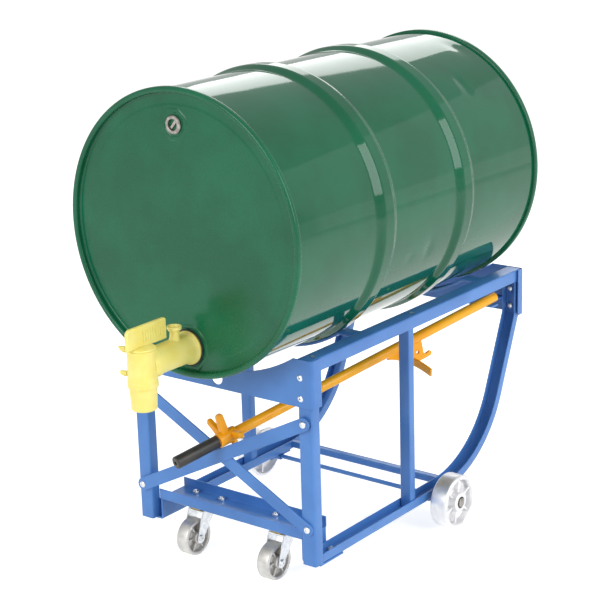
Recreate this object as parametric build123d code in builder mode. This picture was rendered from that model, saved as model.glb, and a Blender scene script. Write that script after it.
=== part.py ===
from build123d import *
import os
from math import asin, atan2, cos, degrees, hypot, radians, sin, sqrt, tan

# A drum cart with a steel drum lying in its cradle. Millimetres and degrees.
# X runs to the cart's right, Y from the tap to the rear plate, Z up from the floor.
# Places along Y are given as stations behind the mid plane of the drum's front rim.

# Clearances
seat_gap = 0.3
run_gap = 0.05
hole_gap = 0.3

# Drum
drum_r = 286.0
rim_height = 6.0
rim_depth = 12.0
rim_width = 14.0
rim_round = 4.0
rim_pitch = 868.0
hoop_height = 9.5
hoop_first = 289.0
hoop_pitch = 290.0
hoop_crest = 26.0
hoop_foot = 70.0
hoop_round = 14.0
drum_wall = 1.5
head_sheet = 1.5
head_recess = 13.0
tap_inset = 54.0
tap_turn = 0.0
vent_inset = 69.5
vent_turn = 3.0
vent_r = 13.0
vent_cap_r = 19.0
vent_cap_h = 6.0
vent_length = 22.0
vent_key = 11.0
vent_key_depth = 9.0

# Tap
thread_r = 28.5
thread_length = 26.0
gasket_r = 38.0
gasket_h = 3.0
flange_r = 35.0
flange_h = 11.0
flange_taper = 25.0
barrel_r = 29.5
bell_r = 31.5
bell_station = -100.0
bore_r = 20.0
spout_station = -133.0
spout_r = 30.5
spout_top_above = 34.0
spout_step_below = 41.0
spout_bottom_below = 88.0
nozzle_top_r = 27.5
nozzle_r = 25.5
plug_r = 24.0
plug_below = 31.0
port_r = 20.0
plug_port_r = 18.5
ear_reach = 14.0
ear_t = 6.0
ear_height = 14.0
ear_pitch = 48.0
ear_rise = 11.0
ear_turn = 37.0
cap_r = 29.0
cap_h = 4.0
paddle_length = 111.0
paddle_lead = 41.0
paddle_height = 43.0
paddle_t = 8.0
paddle_round = 8.0
grip_rib = 1.6
grip_rib_pitch = 8.0
air_station = -36.0
air_neck_r = 9.5
air_neck_h = 14.0
air_cap_r = 15.0
air_cap_h = 12.0
air_cup_r = 11.0
air_cup_depth = 8.0

# Frame sheet and channels
sheet = 2.5
frame_width = 481.0
frame_top = 505.0
rail_width = 34.5
rail_drop = 27.0
rail_bend = 4.0
rail_clear = 23.1
channel_width = 34.0
channel_depth = 21.0
leg_station = 90.0
leg_depth = 25.0
runner_bend = 261.0
runner_lean = 23.6
runner_reach = 316.0
toe_bend = 40.0
post_station = 447.0
post_depth = 20.0
post_gap = 1.25
post_wall = 2.0

# Saddle plates and straps
saddle_r = 368.0
saddle_gap = 14.0
saddle_rise = 1.0
saddle_depth = 100.0
relief_r = 14.5
relief_web = 8.0
rear_gap = 12.0
rear_rise = 0.5
rear_depth = 108.0
rear_flange = 18.0
lip_reach = 25.0
strap_width = 32.0
strap_t = 6.0
strap_stations = (295.0, 767.0)

# Brace bars
bar_width = 28.0
bar_t = 4.0
brace_low = 145.0
brace_high = 372.0

# Wheels and axle
wheel_r = 60.0
wheel_width = 42.0
wheel_stand = 34.5
wheel_rim = 9.0
wheel_web = 8.0
hub_r = 22.0
hub_proud_out = 2.5
hub_proud_in = 5.0
bearing_r = 13.0
wheel_ribs = 6
rib_t = 6.0
wheel_edge = 4.0
axle_r = 5.0
axle_station = 544.0
axle_tail = 0.8
spacer_r = 10.0
cap_nut_r = 10.0
cap_nut_t = 2.5
axle_chamfer = 0.6
clip_t = 4.0
clip_width = 30.0
clip_length = 70.0
cross_station = 590.0
cross_size = 16.0

# Caster tray and casters
tray_z = 108.5
tray_station = 145.5
tray_width = 82.0
tray_lip = 24.5
tray_gap = 10.0
cleat_t = 4.0
cleat_bolt_inset = 4.5
cleat_bolt_pitch = 50.0
kingpin_x = 110.0
kingpin_r = 7.0
kingpin_head_r = 11.0
kingpin_head_h = 4.0
pad_x = 96.0
pad_y = 68.0
pad_bolt_x = 72.0
pad_bolt_y = 44.5
skirt_r = 25.0
skirt_t = 2.0
race_r = 17.0
race_width = 8.0
ball_r = 3.5
ball_count = 14
crown_drop = 13.0
crown_t = 4.0
fork_t = 3.0
fork_half = 24.0
fork_boss = 12.0
caster_r = 40.0
caster_width = 32.0
caster_trail = 32.0
caster_hub_r = 14.0
caster_hub = 36.0
caster_rim = 9.0
caster_web = 10.0
caster_edge = 3.0
caster_axle_r = 5.0

# Lever
tube_r = 11.1
tube_wall = 2.5
lever_front_x = 4.0
lever_pitch = 11.9
lever_lead = 115.0
lever_tail = 772.0
tail_lap = 14.55
grip_r = 13.4
grip_end = 4.0
grip_stop = 10.0
grip_hole_r = 4.0
collar_r = 15.5
collar_start = -8.0
collar_length = 44.0
lug_stations = (26.0, 11.0, 7.0, 26.0)
lug_angles = (165.0, 82.0, 30.0, 250.0)
lug_reaches = (46.0, 52.0, 55.0, 42.0)
lug_widths = (17.0, 20.0, 18.0, 13.0)
lug_depths = (13.0, 18.0, 14.0, 13.0)
lug_round = 3.0
hook_start = 442.0
hook_end = 545.0
hook_drop = 56.0
hook_nose = 78.0
hook_t = 6.0
hook_eye_r = 4.0
hook_eye_back = 16.0
hook_eye_drop = 34.0
prong_reach = 22.0
prong_r = 5.5
prong_rise = 2.0
heel_station = 500.0
heel_top = 28.0
heel_r = 250.0
heel_depth = 20.0
heel_half = 78.0
heel_t = 5.0
shelf_t = 4.0
shelf_station = 788.0
shelf_rest = 24.0
shelf_taper = 18.0
shelf_tip = 22.0
shelf_side = 26.0

# Fasteners
bolt_r = 4.0
bolt_head_r = 7.5
bolt_head_h = 4.5
bolt_head_taper = 35.0
bolt_tail = 2.5
nut_r = 7.5
nut_h = 6.5
saddle_bolt_inset = 6.5
saddle_bolt_heights = (467.5, 424.0)
toe_bolt_heights = (455.0, 413.0)
rail_bolt_stations = (118.0, 466.0)
rail_bolt_r = 3.0
rail_bolt_head_r = 6.0
rail_bolt_taper = 45.0

# Worked out from the sizes above
rim_r = drum_r + rim_height
hoop_r = drum_r + hoop_height
rail_out = frame_width / 2
rail_in = rail_out - rail_width
channel_out = rail_out - sheet
channel_in = channel_out - channel_width
channel_mid = channel_out - channel_width / 2
rail_mid = rail_out - rail_width / 2
saddle_bolt_x = channel_mid - saddle_bolt_inset
cleat_bolt_x = channel_mid - cleat_bolt_inset
tray_half = channel_in - tray_gap
wheel_mid_x = channel_out + wheel_stand
tap_ring = drum_r - tap_inset
vent_ring = drum_r - vent_inset
axis_z = frame_top + sqrt((hoop_r + rail_clear) ** 2 - rail_in**2)
runner_z = wheel_r + axle_r
rail_under = frame_top - sheet
tail_station = rim_pitch + rim_width / 2 + rear_gap
paddle_front = spout_station - paddle_lead
rear_reach = tail_station + sheet + nut_h + bolt_tail
middle = (rear_reach + paddle_front) / 2
saddle_front = leg_station - sheet
brace_front = leg_station - 2 * bar_t
bolt_hole = bolt_r + hole_gap
head_station = head_recess - rim_width / 2
tap_x = tap_ring * sin(radians(tap_turn))
tap_z = axis_z - tap_ring * cos(radians(tap_turn))
vent_x = -vent_ring * sin(radians(vent_turn))
vent_z = axis_z + vent_ring * cos(radians(vent_turn))
sides = ((-1, "left"), (1, "right"))


def along(station):
    return station - middle


def save(builder, name):
    builder.part.label = name
    export_step(builder.part, f"parts/{name}.step")


def across(station):
    # Upright plane facing the front of the cart: local x is +X and local y is +Z.
    return Plane(origin=(0, along(station), 0), x_dir=(1, 0, 0), z_dir=(0, -1, 0))


def sideways(x):
    # Upright plane facing the cart's right: local x is +Y and local y is +Z.
    return Plane(origin=(x, 0, 0), x_dir=(0, 1, 0), z_dir=(1, 0, 0))


def level(z):
    return Plane.XY.offset(z)


def axle_plane(x, station, z):
    return Plane(origin=(x, along(station), z), x_dir=(0, 1, 0), z_dir=(1, 0, 0))


def add_bolt(seat, grip, shank=bolt_r, head=bolt_head_r, head_h=bolt_head_h, nut=nut_r):
    # A button head on the seat plane, its shank through the grip, and the nut behind it.
    with BuildSketch(seat) as head_face:
        Circle(head)
    extrude(head_face.sketch, amount=head_h, taper=bolt_head_taper)
    with BuildSketch(seat) as shank_face:
        Circle(shank)
    extrude(shank_face.sketch, amount=-(grip + nut_h + bolt_tail))
    with BuildSketch(seat.offset(-grip)) as nut_face:
        RegularPolygon(nut, 6)
    extrude(nut_face.sketch, amount=-nut_h)


os.makedirs("parts", exist_ok=True)

# Drum shell with two rolling hoops
drum_plane = Plane(origin=(0, along(0), axis_z), x_dir=(0, 1, 0), z_dir=(1, 0, 0))
drum_axis = Axis((0, 0, axis_z), (0, 1, 0))
shell_start = rim_width / 2
shell_end = rim_pitch - rim_width / 2


def shell_outline(inset, overrun):
    points = [(shell_start - overrun, drum_r - inset)]
    for place in (hoop_first, hoop_first + hoop_pitch):
        points.append((place - hoop_foot / 2, drum_r - inset))
        points.append((place - hoop_crest / 2, hoop_r - inset))
        points.append((place + hoop_crest / 2, hoop_r - inset))
        points.append((place + hoop_foot / 2, drum_r - inset))
    points.append((shell_end + overrun, drum_r - inset))
    return points


with BuildPart() as drum_shell:
    for inset, overrun, mode in ((0, 0, Mode.ADD), (drum_wall, rim_width, Mode.SUBTRACT)):
        outline = shell_outline(inset, overrun)
        with BuildSketch(drum_plane):
            with BuildLine():
                FilletPolyline(*outline, radius=hoop_round)
                Polyline(outline[-1], (outline[-1][0], 0), (outline[0][0], 0), outline[0])
            make_face()
        revolve(axis=drum_axis, mode=mode)
save(drum_shell, "drum_shell")

# Drum heads: a recessed disc and its rolled rim
for rim_mid, face, name in ((0, 1, "drum_front_head"), (rim_pitch, -1, "drum_rear_head")):
    with BuildPart() as drum_head:
        disc_out = rim_mid + face * head_station
        disc_in = disc_out + face * head_sheet
        rim_edge = rim_mid - face * rim_width / 2
        rim_back = rim_mid + face * rim_width / 2
        ring_r = rim_r - rim_depth
        with BuildSketch(drum_plane):
            with BuildLine():
                Polyline(
                    (disc_out, 0),
                    (disc_out, ring_r),
                    (rim_edge, ring_r),
                    (rim_edge, rim_r),
                    (rim_back, rim_r),
                    (rim_back, ring_r),
                    (disc_in, ring_r),
                    (disc_in, 0),
                    close=True,
                )
            make_face()
        revolve(axis=drum_axis)
        rim_edges = drum_head.edges().filter_by(GeomType.CIRCLE)
        fillet(rim_edges.filter_by(lambda edge: edge.radius > rim_r - run_gap), rim_round)
        if face > 0:
            with BuildSketch(across(disc_out)):
                with Locations((tap_x, tap_z)):
                    Circle(thread_r + hole_gap)
                with Locations((vent_x, vent_z)):
                    Circle(vent_r + hole_gap)
            extrude(amount=-head_sheet, mode=Mode.SUBTRACT)
    save(drum_head, name)

# Vent plug with a square key recess
with BuildPart() as vent_plug:
    with BuildSketch(across(head_station)):
        with Locations((vent_x, vent_z)):
            Circle(vent_cap_r)
    extrude(amount=vent_cap_h)
    with BuildSketch(across(head_station)):
        with Locations((vent_x, vent_z)):
            Circle(vent_r)
    extrude(amount=-vent_length)
    with BuildSketch(across(head_station - vent_cap_h)):
        with Locations((vent_x, vent_z)):
            Rectangle(vent_key, vent_key)
    extrude(amount=-vent_key_depth, mode=Mode.SUBTRACT)
save(vent_plug, "vent_plug")

# Gasket between the tap and the head
with BuildPart() as tap_gasket:
    with BuildSketch(across(head_station)):
        with Locations((tap_x, tap_z)):
            Circle(gasket_r)
            Circle(thread_r + hole_gap, mode=Mode.SUBTRACT)
    extrude(amount=gasket_h)
save(tap_gasket, "tap_gasket")

# Tap body: threaded tail, flange, barrel and spout, bored for the flow and for the plug
spout_y = along(spout_station)
spout_top = tap_z + spout_top_above
spout_step = tap_z - spout_step_below
spout_bottom = tap_z - spout_bottom_below
plug_bottom = tap_z - plug_below
gasket_station = head_station - gasket_h
with BuildPart() as tap_body:
    with BuildSketch(across(gasket_station)):
        with Locations((tap_x, tap_z)):
            Circle(thread_r)
    extrude(amount=-(gasket_h + thread_length))
    with BuildSketch(across(gasket_station)):
        with Locations((tap_x, tap_z)):
            Circle(flange_r)
    extrude(amount=flange_h, taper=flange_taper)
    with BuildSketch(across(gasket_station)):
        with Locations((tap_x, tap_z)):
            Circle(barrel_r)
    extrude(amount=gasket_station - spout_station)
    with BuildSketch(across(bell_station)):
        with Locations((tap_x, tap_z)):
            Circle(bell_r)
    extrude(amount=bell_station - spout_station)
    ear_way = radians(ear_turn)
    ear_root = (cap_r + spout_r) / 2
    ear_plane = Plane(
        origin=(tap_x, spout_y, tap_z + ear_rise),
        x_dir=(-cos(ear_way), -sin(ear_way), 0),
        z_dir=(-sin(ear_way), cos(ear_way), 0),
    )
    with BuildSketch(ear_plane):
        with Locations(((ear_root + spout_r + ear_reach) / 2, 0)):
            with GridLocations(0, ear_pitch, 1, 2):
                Rectangle(spout_r + ear_reach - ear_root, ear_height)
    extrude(amount=ear_t / 2, both=True)
    with BuildSketch(level(spout_step)):
        with Locations((tap_x, spout_y)):
            Circle(spout_r)
    extrude(amount=spout_top - spout_step)
    with BuildSketch(level(spout_step)):
        with Locations((tap_x, spout_y)):
            Circle(nozzle_top_r)
    with BuildSketch(level(spout_bottom)):
        with Locations((tap_x, spout_y)):
            Circle(nozzle_r)
    loft()
    with BuildSketch(level(spout_bottom)):
        with Locations((tap_x, spout_y)):
            Circle(bore_r)
    extrude(amount=plug_bottom - spout_bottom, mode=Mode.SUBTRACT)
    with BuildSketch(level(plug_bottom)):
        with Locations((tap_x, spout_y)):
            Circle(plug_r + run_gap)
    extrude(amount=spout_top - plug_bottom, mode=Mode.SUBTRACT)
    with BuildSketch(across(spout_station)):
        with Locations((tap_x, tap_z)):
            Circle(port_r)
    extrude(amount=-(head_station + thread_length - spout_station), mode=Mode.SUBTRACT)
save(tap_body, "tap_body")

# Small air cap on the barrel
with BuildPart() as tap_air_cap:
    with BuildSketch(level(tap_z + barrel_r)):
        with Locations((tap_x, along(air_station))):
            Circle(air_neck_r)
    extrude(amount=air_neck_h)
    with BuildSketch(level(tap_z + barrel_r + air_neck_h)):
        with Locations((tap_x, along(air_station))):
            Circle(air_cap_r)
    extrude(amount=air_cap_h)
    with BuildSketch(level(tap_z + barrel_r + air_neck_h + air_cap_h)):
        with Locations((tap_x, along(air_station))):
            Circle(air_cup_r)
    extrude(amount=-air_cup_depth, mode=Mode.SUBTRACT)
save(tap_air_cap, "tap_air_cap")

# Tap handle: ribbed paddle on a cap, turning the plug below it
with BuildPart() as tap_handle:
    with BuildSketch(level(plug_bottom + seat_gap)):
        with Locations((tap_x, spout_y)):
            Circle(plug_r)
    extrude(amount=spout_top - plug_bottom)
    with BuildSketch(level(spout_top + seat_gap)):
        with Locations((tap_x, spout_y)):
            Circle(cap_r)
    extrude(amount=cap_h)
    with BuildSketch(across(spout_station)):
        with Locations((tap_x, tap_z)):
            Circle(port_r)
    extrude(amount=plug_r, both=True, mode=Mode.SUBTRACT)
    with BuildSketch(level(plug_bottom + seat_gap)):
        with Locations((tap_x, spout_y)):
            Circle(plug_port_r)
    extrude(amount=plug_below, mode=Mode.SUBTRACT)
    paddle_foot = spout_top + seat_gap + cap_h
    paddle_mid = along(paddle_front + paddle_length / 2)
    with BuildSketch(sideways(tap_x)) as paddle:
        with Locations((paddle_mid, paddle_foot + paddle_height / 2)):
            Rectangle(paddle_length, paddle_height)
        fillet(paddle.vertices().group_by(Axis.Z)[-1], paddle_round)
    extrude(amount=paddle_t / 2, both=True)
    rib_count = int((paddle_length - 2 * paddle_round) / grip_rib_pitch)
    for face in (-1, 1):
        with BuildSketch(sideways(tap_x + face * paddle_t / 2)):
            with Locations((paddle_mid, paddle_foot + paddle_height / 2)):
                with GridLocations(grip_rib_pitch, 0, rib_count, 1):
                    Rectangle(grip_rib, paddle_height - 2 * paddle_round)
        extrude(amount=face * grip_rib)
save(tap_handle, "tap_handle")

# Top rails: folded angles with their flange outside
front_end = along(leg_station)
rear_end = along(tail_station)
for side, name in sides:
    with BuildPart() as top_rail:
        with BuildSketch(across(tail_station)):
            with BuildLine():
                corner = (side * rail_out, frame_top)
                FilletPolyline(
                    (side * rail_in, frame_top),
                    corner,
                    (side * rail_out, frame_top - rail_drop),
                    radius=rail_bend,
                )
                Polyline(
                    (side * rail_out, frame_top - rail_drop),
                    (side * channel_out, frame_top - rail_drop),
                    (side * channel_out, rail_under),
                    (side * rail_in, rail_under),
                    (side * rail_in, frame_top),
                )
            make_face()
        extrude(amount=tail_station - leg_station)
        for place in rail_bolt_stations:
            sink = Plane(origin=(side * rail_mid, along(place), frame_top), x_dir=(1, 0, 0), z_dir=(0, 0, -1))
            with BuildSketch(sink):
                Circle(rail_bolt_head_r + hole_gap)
            extrude(amount=sheet, taper=rail_bolt_taper, mode=Mode.SUBTRACT)
    save(top_rail, f"{name}_top_rail")

# Front legs: channels that open to the rear, drilled for the plate and brace bolts
leg_holes = [*saddle_bolt_heights, brace_low, brace_high]
for side, name in sides:
    with BuildPart() as front_leg:
        with BuildSketch(level(runner_z)):
            with Locations((side * channel_mid, along(leg_station + leg_depth / 2))):
                Rectangle(channel_width, leg_depth)
            with Locations((side * channel_mid, along(leg_station + sheet + leg_depth / 2))):
                Rectangle(channel_width - 2 * sheet, leg_depth, mode=Mode.SUBTRACT)
        extrude(amount=rail_under - runner_z)
        bends = front_leg.edges().filter_by(Axis.Z).group_by(Axis.Y)[0]
        fillet(bends, rail_bend)
        with BuildSketch(across(leg_station)):
            with Locations(*[(side * saddle_bolt_x, z) for z in saddle_bolt_heights]):
                Circle(bolt_hole)
            with Locations((side * channel_mid, brace_low), (side * channel_mid, brace_high)):
                Circle(bolt_hole)
        extrude(amount=-sheet, mode=Mode.SUBTRACT)
    save(front_leg, f"{name}_front_leg")

# Runners: the bottom rail that curves up into a rocker and stands against the rear plate
turn = radians(90 - runner_lean)
runner_start = leg_station + leg_depth
curve_start = tail_station - runner_reach
curve_end = (curve_start + runner_bend * sin(turn), runner_z + runner_bend * (1 - cos(turn)))
toe_start_y = tail_station - toe_bend * (1 - sin(turn))
toe_start = (toe_start_y, curve_end[1] + (toe_start_y - curve_end[0]) * tan(turn))
toe_end = (tail_station, toe_start[1] + toe_bend * cos(turn))
for side, name in sides:
    with BuildPart() as runner:
        with BuildLine(sideways(side * channel_mid)) as path:
            Line((along(runner_start), runner_z), (along(curve_start), runner_z))
            CenterArc((along(curve_start), runner_z + runner_bend), runner_bend, -90, degrees(turn))
            Line((along(curve_end[0]), curve_end[1]), (along(toe_start[0]), toe_start[1]))
            CenterArc((along(tail_station - toe_bend), toe_end[1]), toe_bend, degrees(turn) - 90, 90 - degrees(turn))
            Line((along(tail_station), toe_end[1]), (along(tail_station), rail_under))
        start_plane = Plane(
            origin=(side * channel_mid, along(runner_start), runner_z), x_dir=(1, 0, 0), z_dir=(0, 1, 0)
        )
        with BuildSketch(start_plane):
            with Locations((0, -channel_depth / 2)):
                Rectangle(channel_width, channel_depth)
            with Locations((0, -sheet - channel_depth / 2)):
                Rectangle(channel_width - 2 * sheet, channel_depth, mode=Mode.SUBTRACT)
        sweep(path=path.line)
        with BuildSketch(level(runner_z)):
            with Locations((side * cleat_bolt_x, along(tray_station))):
                with GridLocations(0, cleat_bolt_pitch, 1, 2):
                    Circle(bolt_hole)
        extrude(amount=sheet, mode=Mode.SUBTRACT)
        with BuildSketch(across(tail_station)):
            with Locations(*[(side * saddle_bolt_x, z) for z in toe_bolt_heights]):
                Circle(bolt_hole)
        extrude(amount=sheet, mode=Mode.SUBTRACT)
    save(runner, f"{name}_runner")

# Mid posts: tubes from the runner's web up to the rail
post_width = channel_width - 2 * sheet - 2 * post_gap
for side, name in sides:
    with BuildPart() as mid_post:
        with BuildSketch(level(runner_z + sheet)):
            with Locations((side * channel_mid, along(post_station))):
                Rectangle(post_width, post_depth)
                Rectangle(post_width - 2 * post_wall, post_depth - 2 * post_wall, mode=Mode.SUBTRACT)
        extrude(amount=rail_under - runner_z - sheet)
    save(mid_post, f"{name}_mid_post")

# Front saddle plate: concave top edge, a round relief in its middle, and a flange round each leg
plate_out = rail_out + sheet
saddle_top = frame_top + saddle_rise
saddle_bottom = saddle_top - saddle_depth
saddle_centre = axis_z - drum_r - saddle_gap + saddle_r
relief_z = saddle_bottom + relief_web + relief_r
with BuildPart() as front_saddle_plate:
    with BuildSketch(across(leg_station)):
        with Locations((0, (saddle_top + saddle_bottom) / 2)):
            Rectangle(2 * plate_out, saddle_depth)
        with Locations((0, saddle_centre)):
            Circle(saddle_r, mode=Mode.SUBTRACT)
        with Locations((0, relief_z)):
            Circle(relief_r, mode=Mode.SUBTRACT)
        with Locations((0, relief_z + saddle_depth / 2)):
            Rectangle(2 * relief_r, saddle_depth, mode=Mode.SUBTRACT)
        with Locations(*[(side * saddle_bolt_x, z) for side in (-1, 1) for z in saddle_bolt_heights]):
            Circle(bolt_hole, mode=Mode.SUBTRACT)
    extrude(amount=sheet)
    with BuildSketch(level(saddle_bottom)):
        for side in (-1, 1):
            with Locations((side * (rail_out + sheet / 2), along(leg_station + leg_depth / 2))):
                Rectangle(sheet, leg_depth)
    extrude(amount=saddle_depth)
save(front_saddle_plate, "front_saddle_plate")

# Rear saddle plate: flanges forward over the rails and a curved lip under the rear rim
rear_top = frame_top + rear_rise
lip_r = rim_r + seat_gap
with BuildPart() as rear_saddle_plate:
    with BuildSketch(across(tail_station)):
        with Locations((0, rear_top - rear_depth / 2)):
            Rectangle(2 * plate_out, rear_depth)
        with Locations((0, axis_z)):
            Circle(lip_r, mode=Mode.SUBTRACT)
        with Locations(*[(side * saddle_bolt_x, z) for side in (-1, 1) for z in toe_bolt_heights]):
            Circle(bolt_hole, mode=Mode.SUBTRACT)
    extrude(amount=-sheet)
    with BuildSketch(level(rear_top - rear_depth)):
        for side in (-1, 1):
            with Locations((side * (rail_out + sheet / 2), along(tail_station - rear_flange / 2))):
                Rectangle(sheet, rear_flange)
    extrude(amount=rear_depth)
    with BuildSketch(across(tail_station)):
        with Locations((0, axis_z)):
            Circle(lip_r + sheet)
            Circle(lip_r, mode=Mode.SUBTRACT)
        with Locations((0, rear_top - rear_depth)):
            Rectangle(2 * plate_out, 2 * rear_depth, mode=Mode.INTERSECT)
    extrude(amount=lip_reach)
save(rear_saddle_plate, "rear_saddle_plate")

# Cradle straps: flat bars bent round the drum's hoops, with tails under the rails
strap_r = hoop_r + seat_gap
strap_low = axis_z - strap_r - strap_t
for station, name in zip(strap_stations, ("front", "rear")):
    with BuildPart() as strap:
        with BuildSketch(across(station)):
            with Locations((0, axis_z)):
                Circle(strap_r + strap_t)
                Circle(strap_r, mode=Mode.SUBTRACT)
            with Locations((0, (rail_under + strap_low) / 2)):
                Rectangle(2 * channel_out, rail_under - strap_low, mode=Mode.INTERSECT)
            tail_from = sqrt(strap_r**2 - (axis_z - rail_under) ** 2)
            for side in (-1, 1):
                with Locations((side * (tail_from + channel_out) / 2, rail_under - strap_t / 2)):
                    Rectangle(channel_out - tail_from, strap_t)
        extrude(amount=strap_width / 2, both=True)
    save(strap, f"{name}_cradle_strap")

# Brace bars crossing in front of the legs, the rising one spaced off them by washers
brace_run = 2 * channel_mid
brace_tilt = atan2(brace_high - brace_low, brace_run)
brace_mid = (brace_low + brace_high) / 2
brace_length = hypot(brace_run, brace_high - brace_low)
for slope, back, name in ((1, leg_station - bar_t, "rising"), (-1, leg_station, "falling")):
    with BuildPart() as brace_bar:
        with BuildSketch(across(back)):
            with Locations((0, brace_mid)):
                SlotCenterToCenter(brace_length, bar_width, rotation=slope * degrees(brace_tilt))
            for side in (-1, 1):
                hole_z = brace_mid + slope * side * (brace_high - brace_low) / 2
                with Locations((side * channel_mid, hole_z)):
                    Circle(bolt_hole, mode=Mode.SUBTRACT)
        extrude(amount=bar_t)
    save(brace_bar, f"{name}_brace_bar")

with BuildPart() as brace_spacers:
    with BuildSketch(across(leg_station)):
        for side, z in ((-1, brace_low), (1, brace_high)):
            with Locations((side * channel_mid, z)):
                Circle(bar_width / 2 - sheet)
                Circle(bolt_hole, mode=Mode.SUBTRACT)
    extrude(amount=bar_t)
save(brace_spacers, "brace_spacers")

# Bolts of the brace, the saddle plates and the rails
with BuildPart() as brace_bolts:
    for side in (-1, 1):
        for z in (brace_low, brace_high):
            in_front = (z - brace_mid) * side > 0
            head_at = leg_station - (2 * bar_t if in_front else bar_t)
            seat = Plane(origin=(side * channel_mid, along(head_at), z), x_dir=(1, 0, 0), z_dir=(0, -1, 0))
            add_bolt(seat, leg_station - head_at + sheet)
save(brace_bolts, "brace_bolts")

with BuildPart() as saddle_bolts:
    for side in (-1, 1):
        for z in saddle_bolt_heights:
            seat = Plane(
                origin=(side * saddle_bolt_x, along(saddle_front), z), x_dir=(1, 0, 0), z_dir=(0, -1, 0)
            )
            add_bolt(seat, 2 * sheet)
        for z in toe_bolt_heights:
            seat = Plane(
                origin=(side * saddle_bolt_x, along(tail_station - sheet), z), x_dir=(1, 0, 0), z_dir=(0, -1, 0)
            )
            add_bolt(seat, 2 * sheet)
save(saddle_bolts, "saddle_bolts")

with BuildPart() as rail_bolts:
    for side in (-1, 1):
        for station in rail_bolt_stations:
            sink = Plane(origin=(side * rail_mid, along(station), frame_top), x_dir=(1, 0, 0), z_dir=(0, 0, -1))
            with BuildSketch(sink):
                Circle(rail_bolt_head_r)
            extrude(amount=sheet, taper=rail_bolt_taper)
            with BuildSketch(sink):
                Circle(rail_bolt_r)
            extrude(amount=sheet + nut_h + bolt_tail)
            with BuildSketch(sink.offset(sheet)):
                RegularPolygon(rail_bolt_head_r, 6)
            extrude(amount=nut_h)
save(rail_bolts, "rail_bolts")

# Caster tray: a channel open upwards between the legs
tray_y = along(tray_station)
with BuildPart() as caster_tray:
    with BuildSketch(sideways(-tray_half)):
        with Locations((tray_y, tray_z + tray_lip / 2)):
            Rectangle(tray_width, tray_lip)
        with Locations((tray_y, tray_z + sheet + tray_lip / 2)):
            Rectangle(tray_width - 2 * sheet, tray_lip, mode=Mode.SUBTRACT)
    extrude(amount=2 * tray_half)
    for side in (-1, 1):
        with BuildSketch(level(tray_z)):
            with Locations((side * kingpin_x, tray_y)):
                with GridLocations(pad_bolt_x, pad_bolt_y, 2, 2):
                    Circle(bolt_hole)
        extrude(amount=sheet, mode=Mode.SUBTRACT)
save(caster_tray, "caster_tray")

# Cleats: each hangs from the tray's end and hooks under the runner
cleat_length = tray_width - 2 * sheet
for side, name in sides:
    with BuildPart() as tray_cleat:
        cleat_foot = runner_z - cleat_t
        with BuildSketch(level(cleat_foot)):
            with Locations((side * (tray_half - cleat_t / 2), tray_y)):
                Rectangle(cleat_t, cleat_length)
        extrude(amount=tray_z - cleat_foot)
        cleat_reach = channel_out - tray_half + cleat_t
        with BuildSketch(level(cleat_foot)):
            with Locations((side * (channel_out - cleat_reach / 2), tray_y)):
                Rectangle(cleat_reach, cleat_length)
            with Locations((side * cleat_bolt_x, tray_y)):
                with GridLocations(0, cleat_bolt_pitch, 1, 2):
                    Circle(bolt_hole, mode=Mode.SUBTRACT)
        extrude(amount=cleat_t)
    save(tray_cleat, f"{name}_tray_cleat")

with BuildPart() as cleat_bolts:
    for side in (-1, 1):
        for dy in (-cleat_bolt_pitch / 2, cleat_bolt_pitch / 2):
            place = (side * cleat_bolt_x, tray_y + dy, runner_z - cleat_t)
            seat = Plane(origin=place, x_dir=(1, 0, 0), z_dir=(0, 0, -1))
            add_bolt(seat, cleat_t + sheet)
save(cleat_bolts, "cleat_bolts")

# Casters: pad and skirt bolted under the tray, kingpin, balls, fork, axle and wheel
pad_under = tray_z - sheet
crown_top = pad_under - crown_drop + crown_t
crown_under = crown_top - crown_t
race_top = pad_under - run_gap - 2 * ball_r - run_gap
caster_station = tray_station - caster_trail
with BuildPart() as caster_bolts:
    for side in (-1, 1):
        for dx in (-pad_bolt_x / 2, pad_bolt_x / 2):
            for dy in (-pad_bolt_y / 2, pad_bolt_y / 2):
                seat = Plane(
                    origin=(side * kingpin_x + dx, tray_y + dy, pad_under), x_dir=(1, 0, 0), z_dir=(0, 0, -1)
                )
                add_bolt(seat, 2 * sheet)
save(caster_bolts, "caster_bolts")

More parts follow.
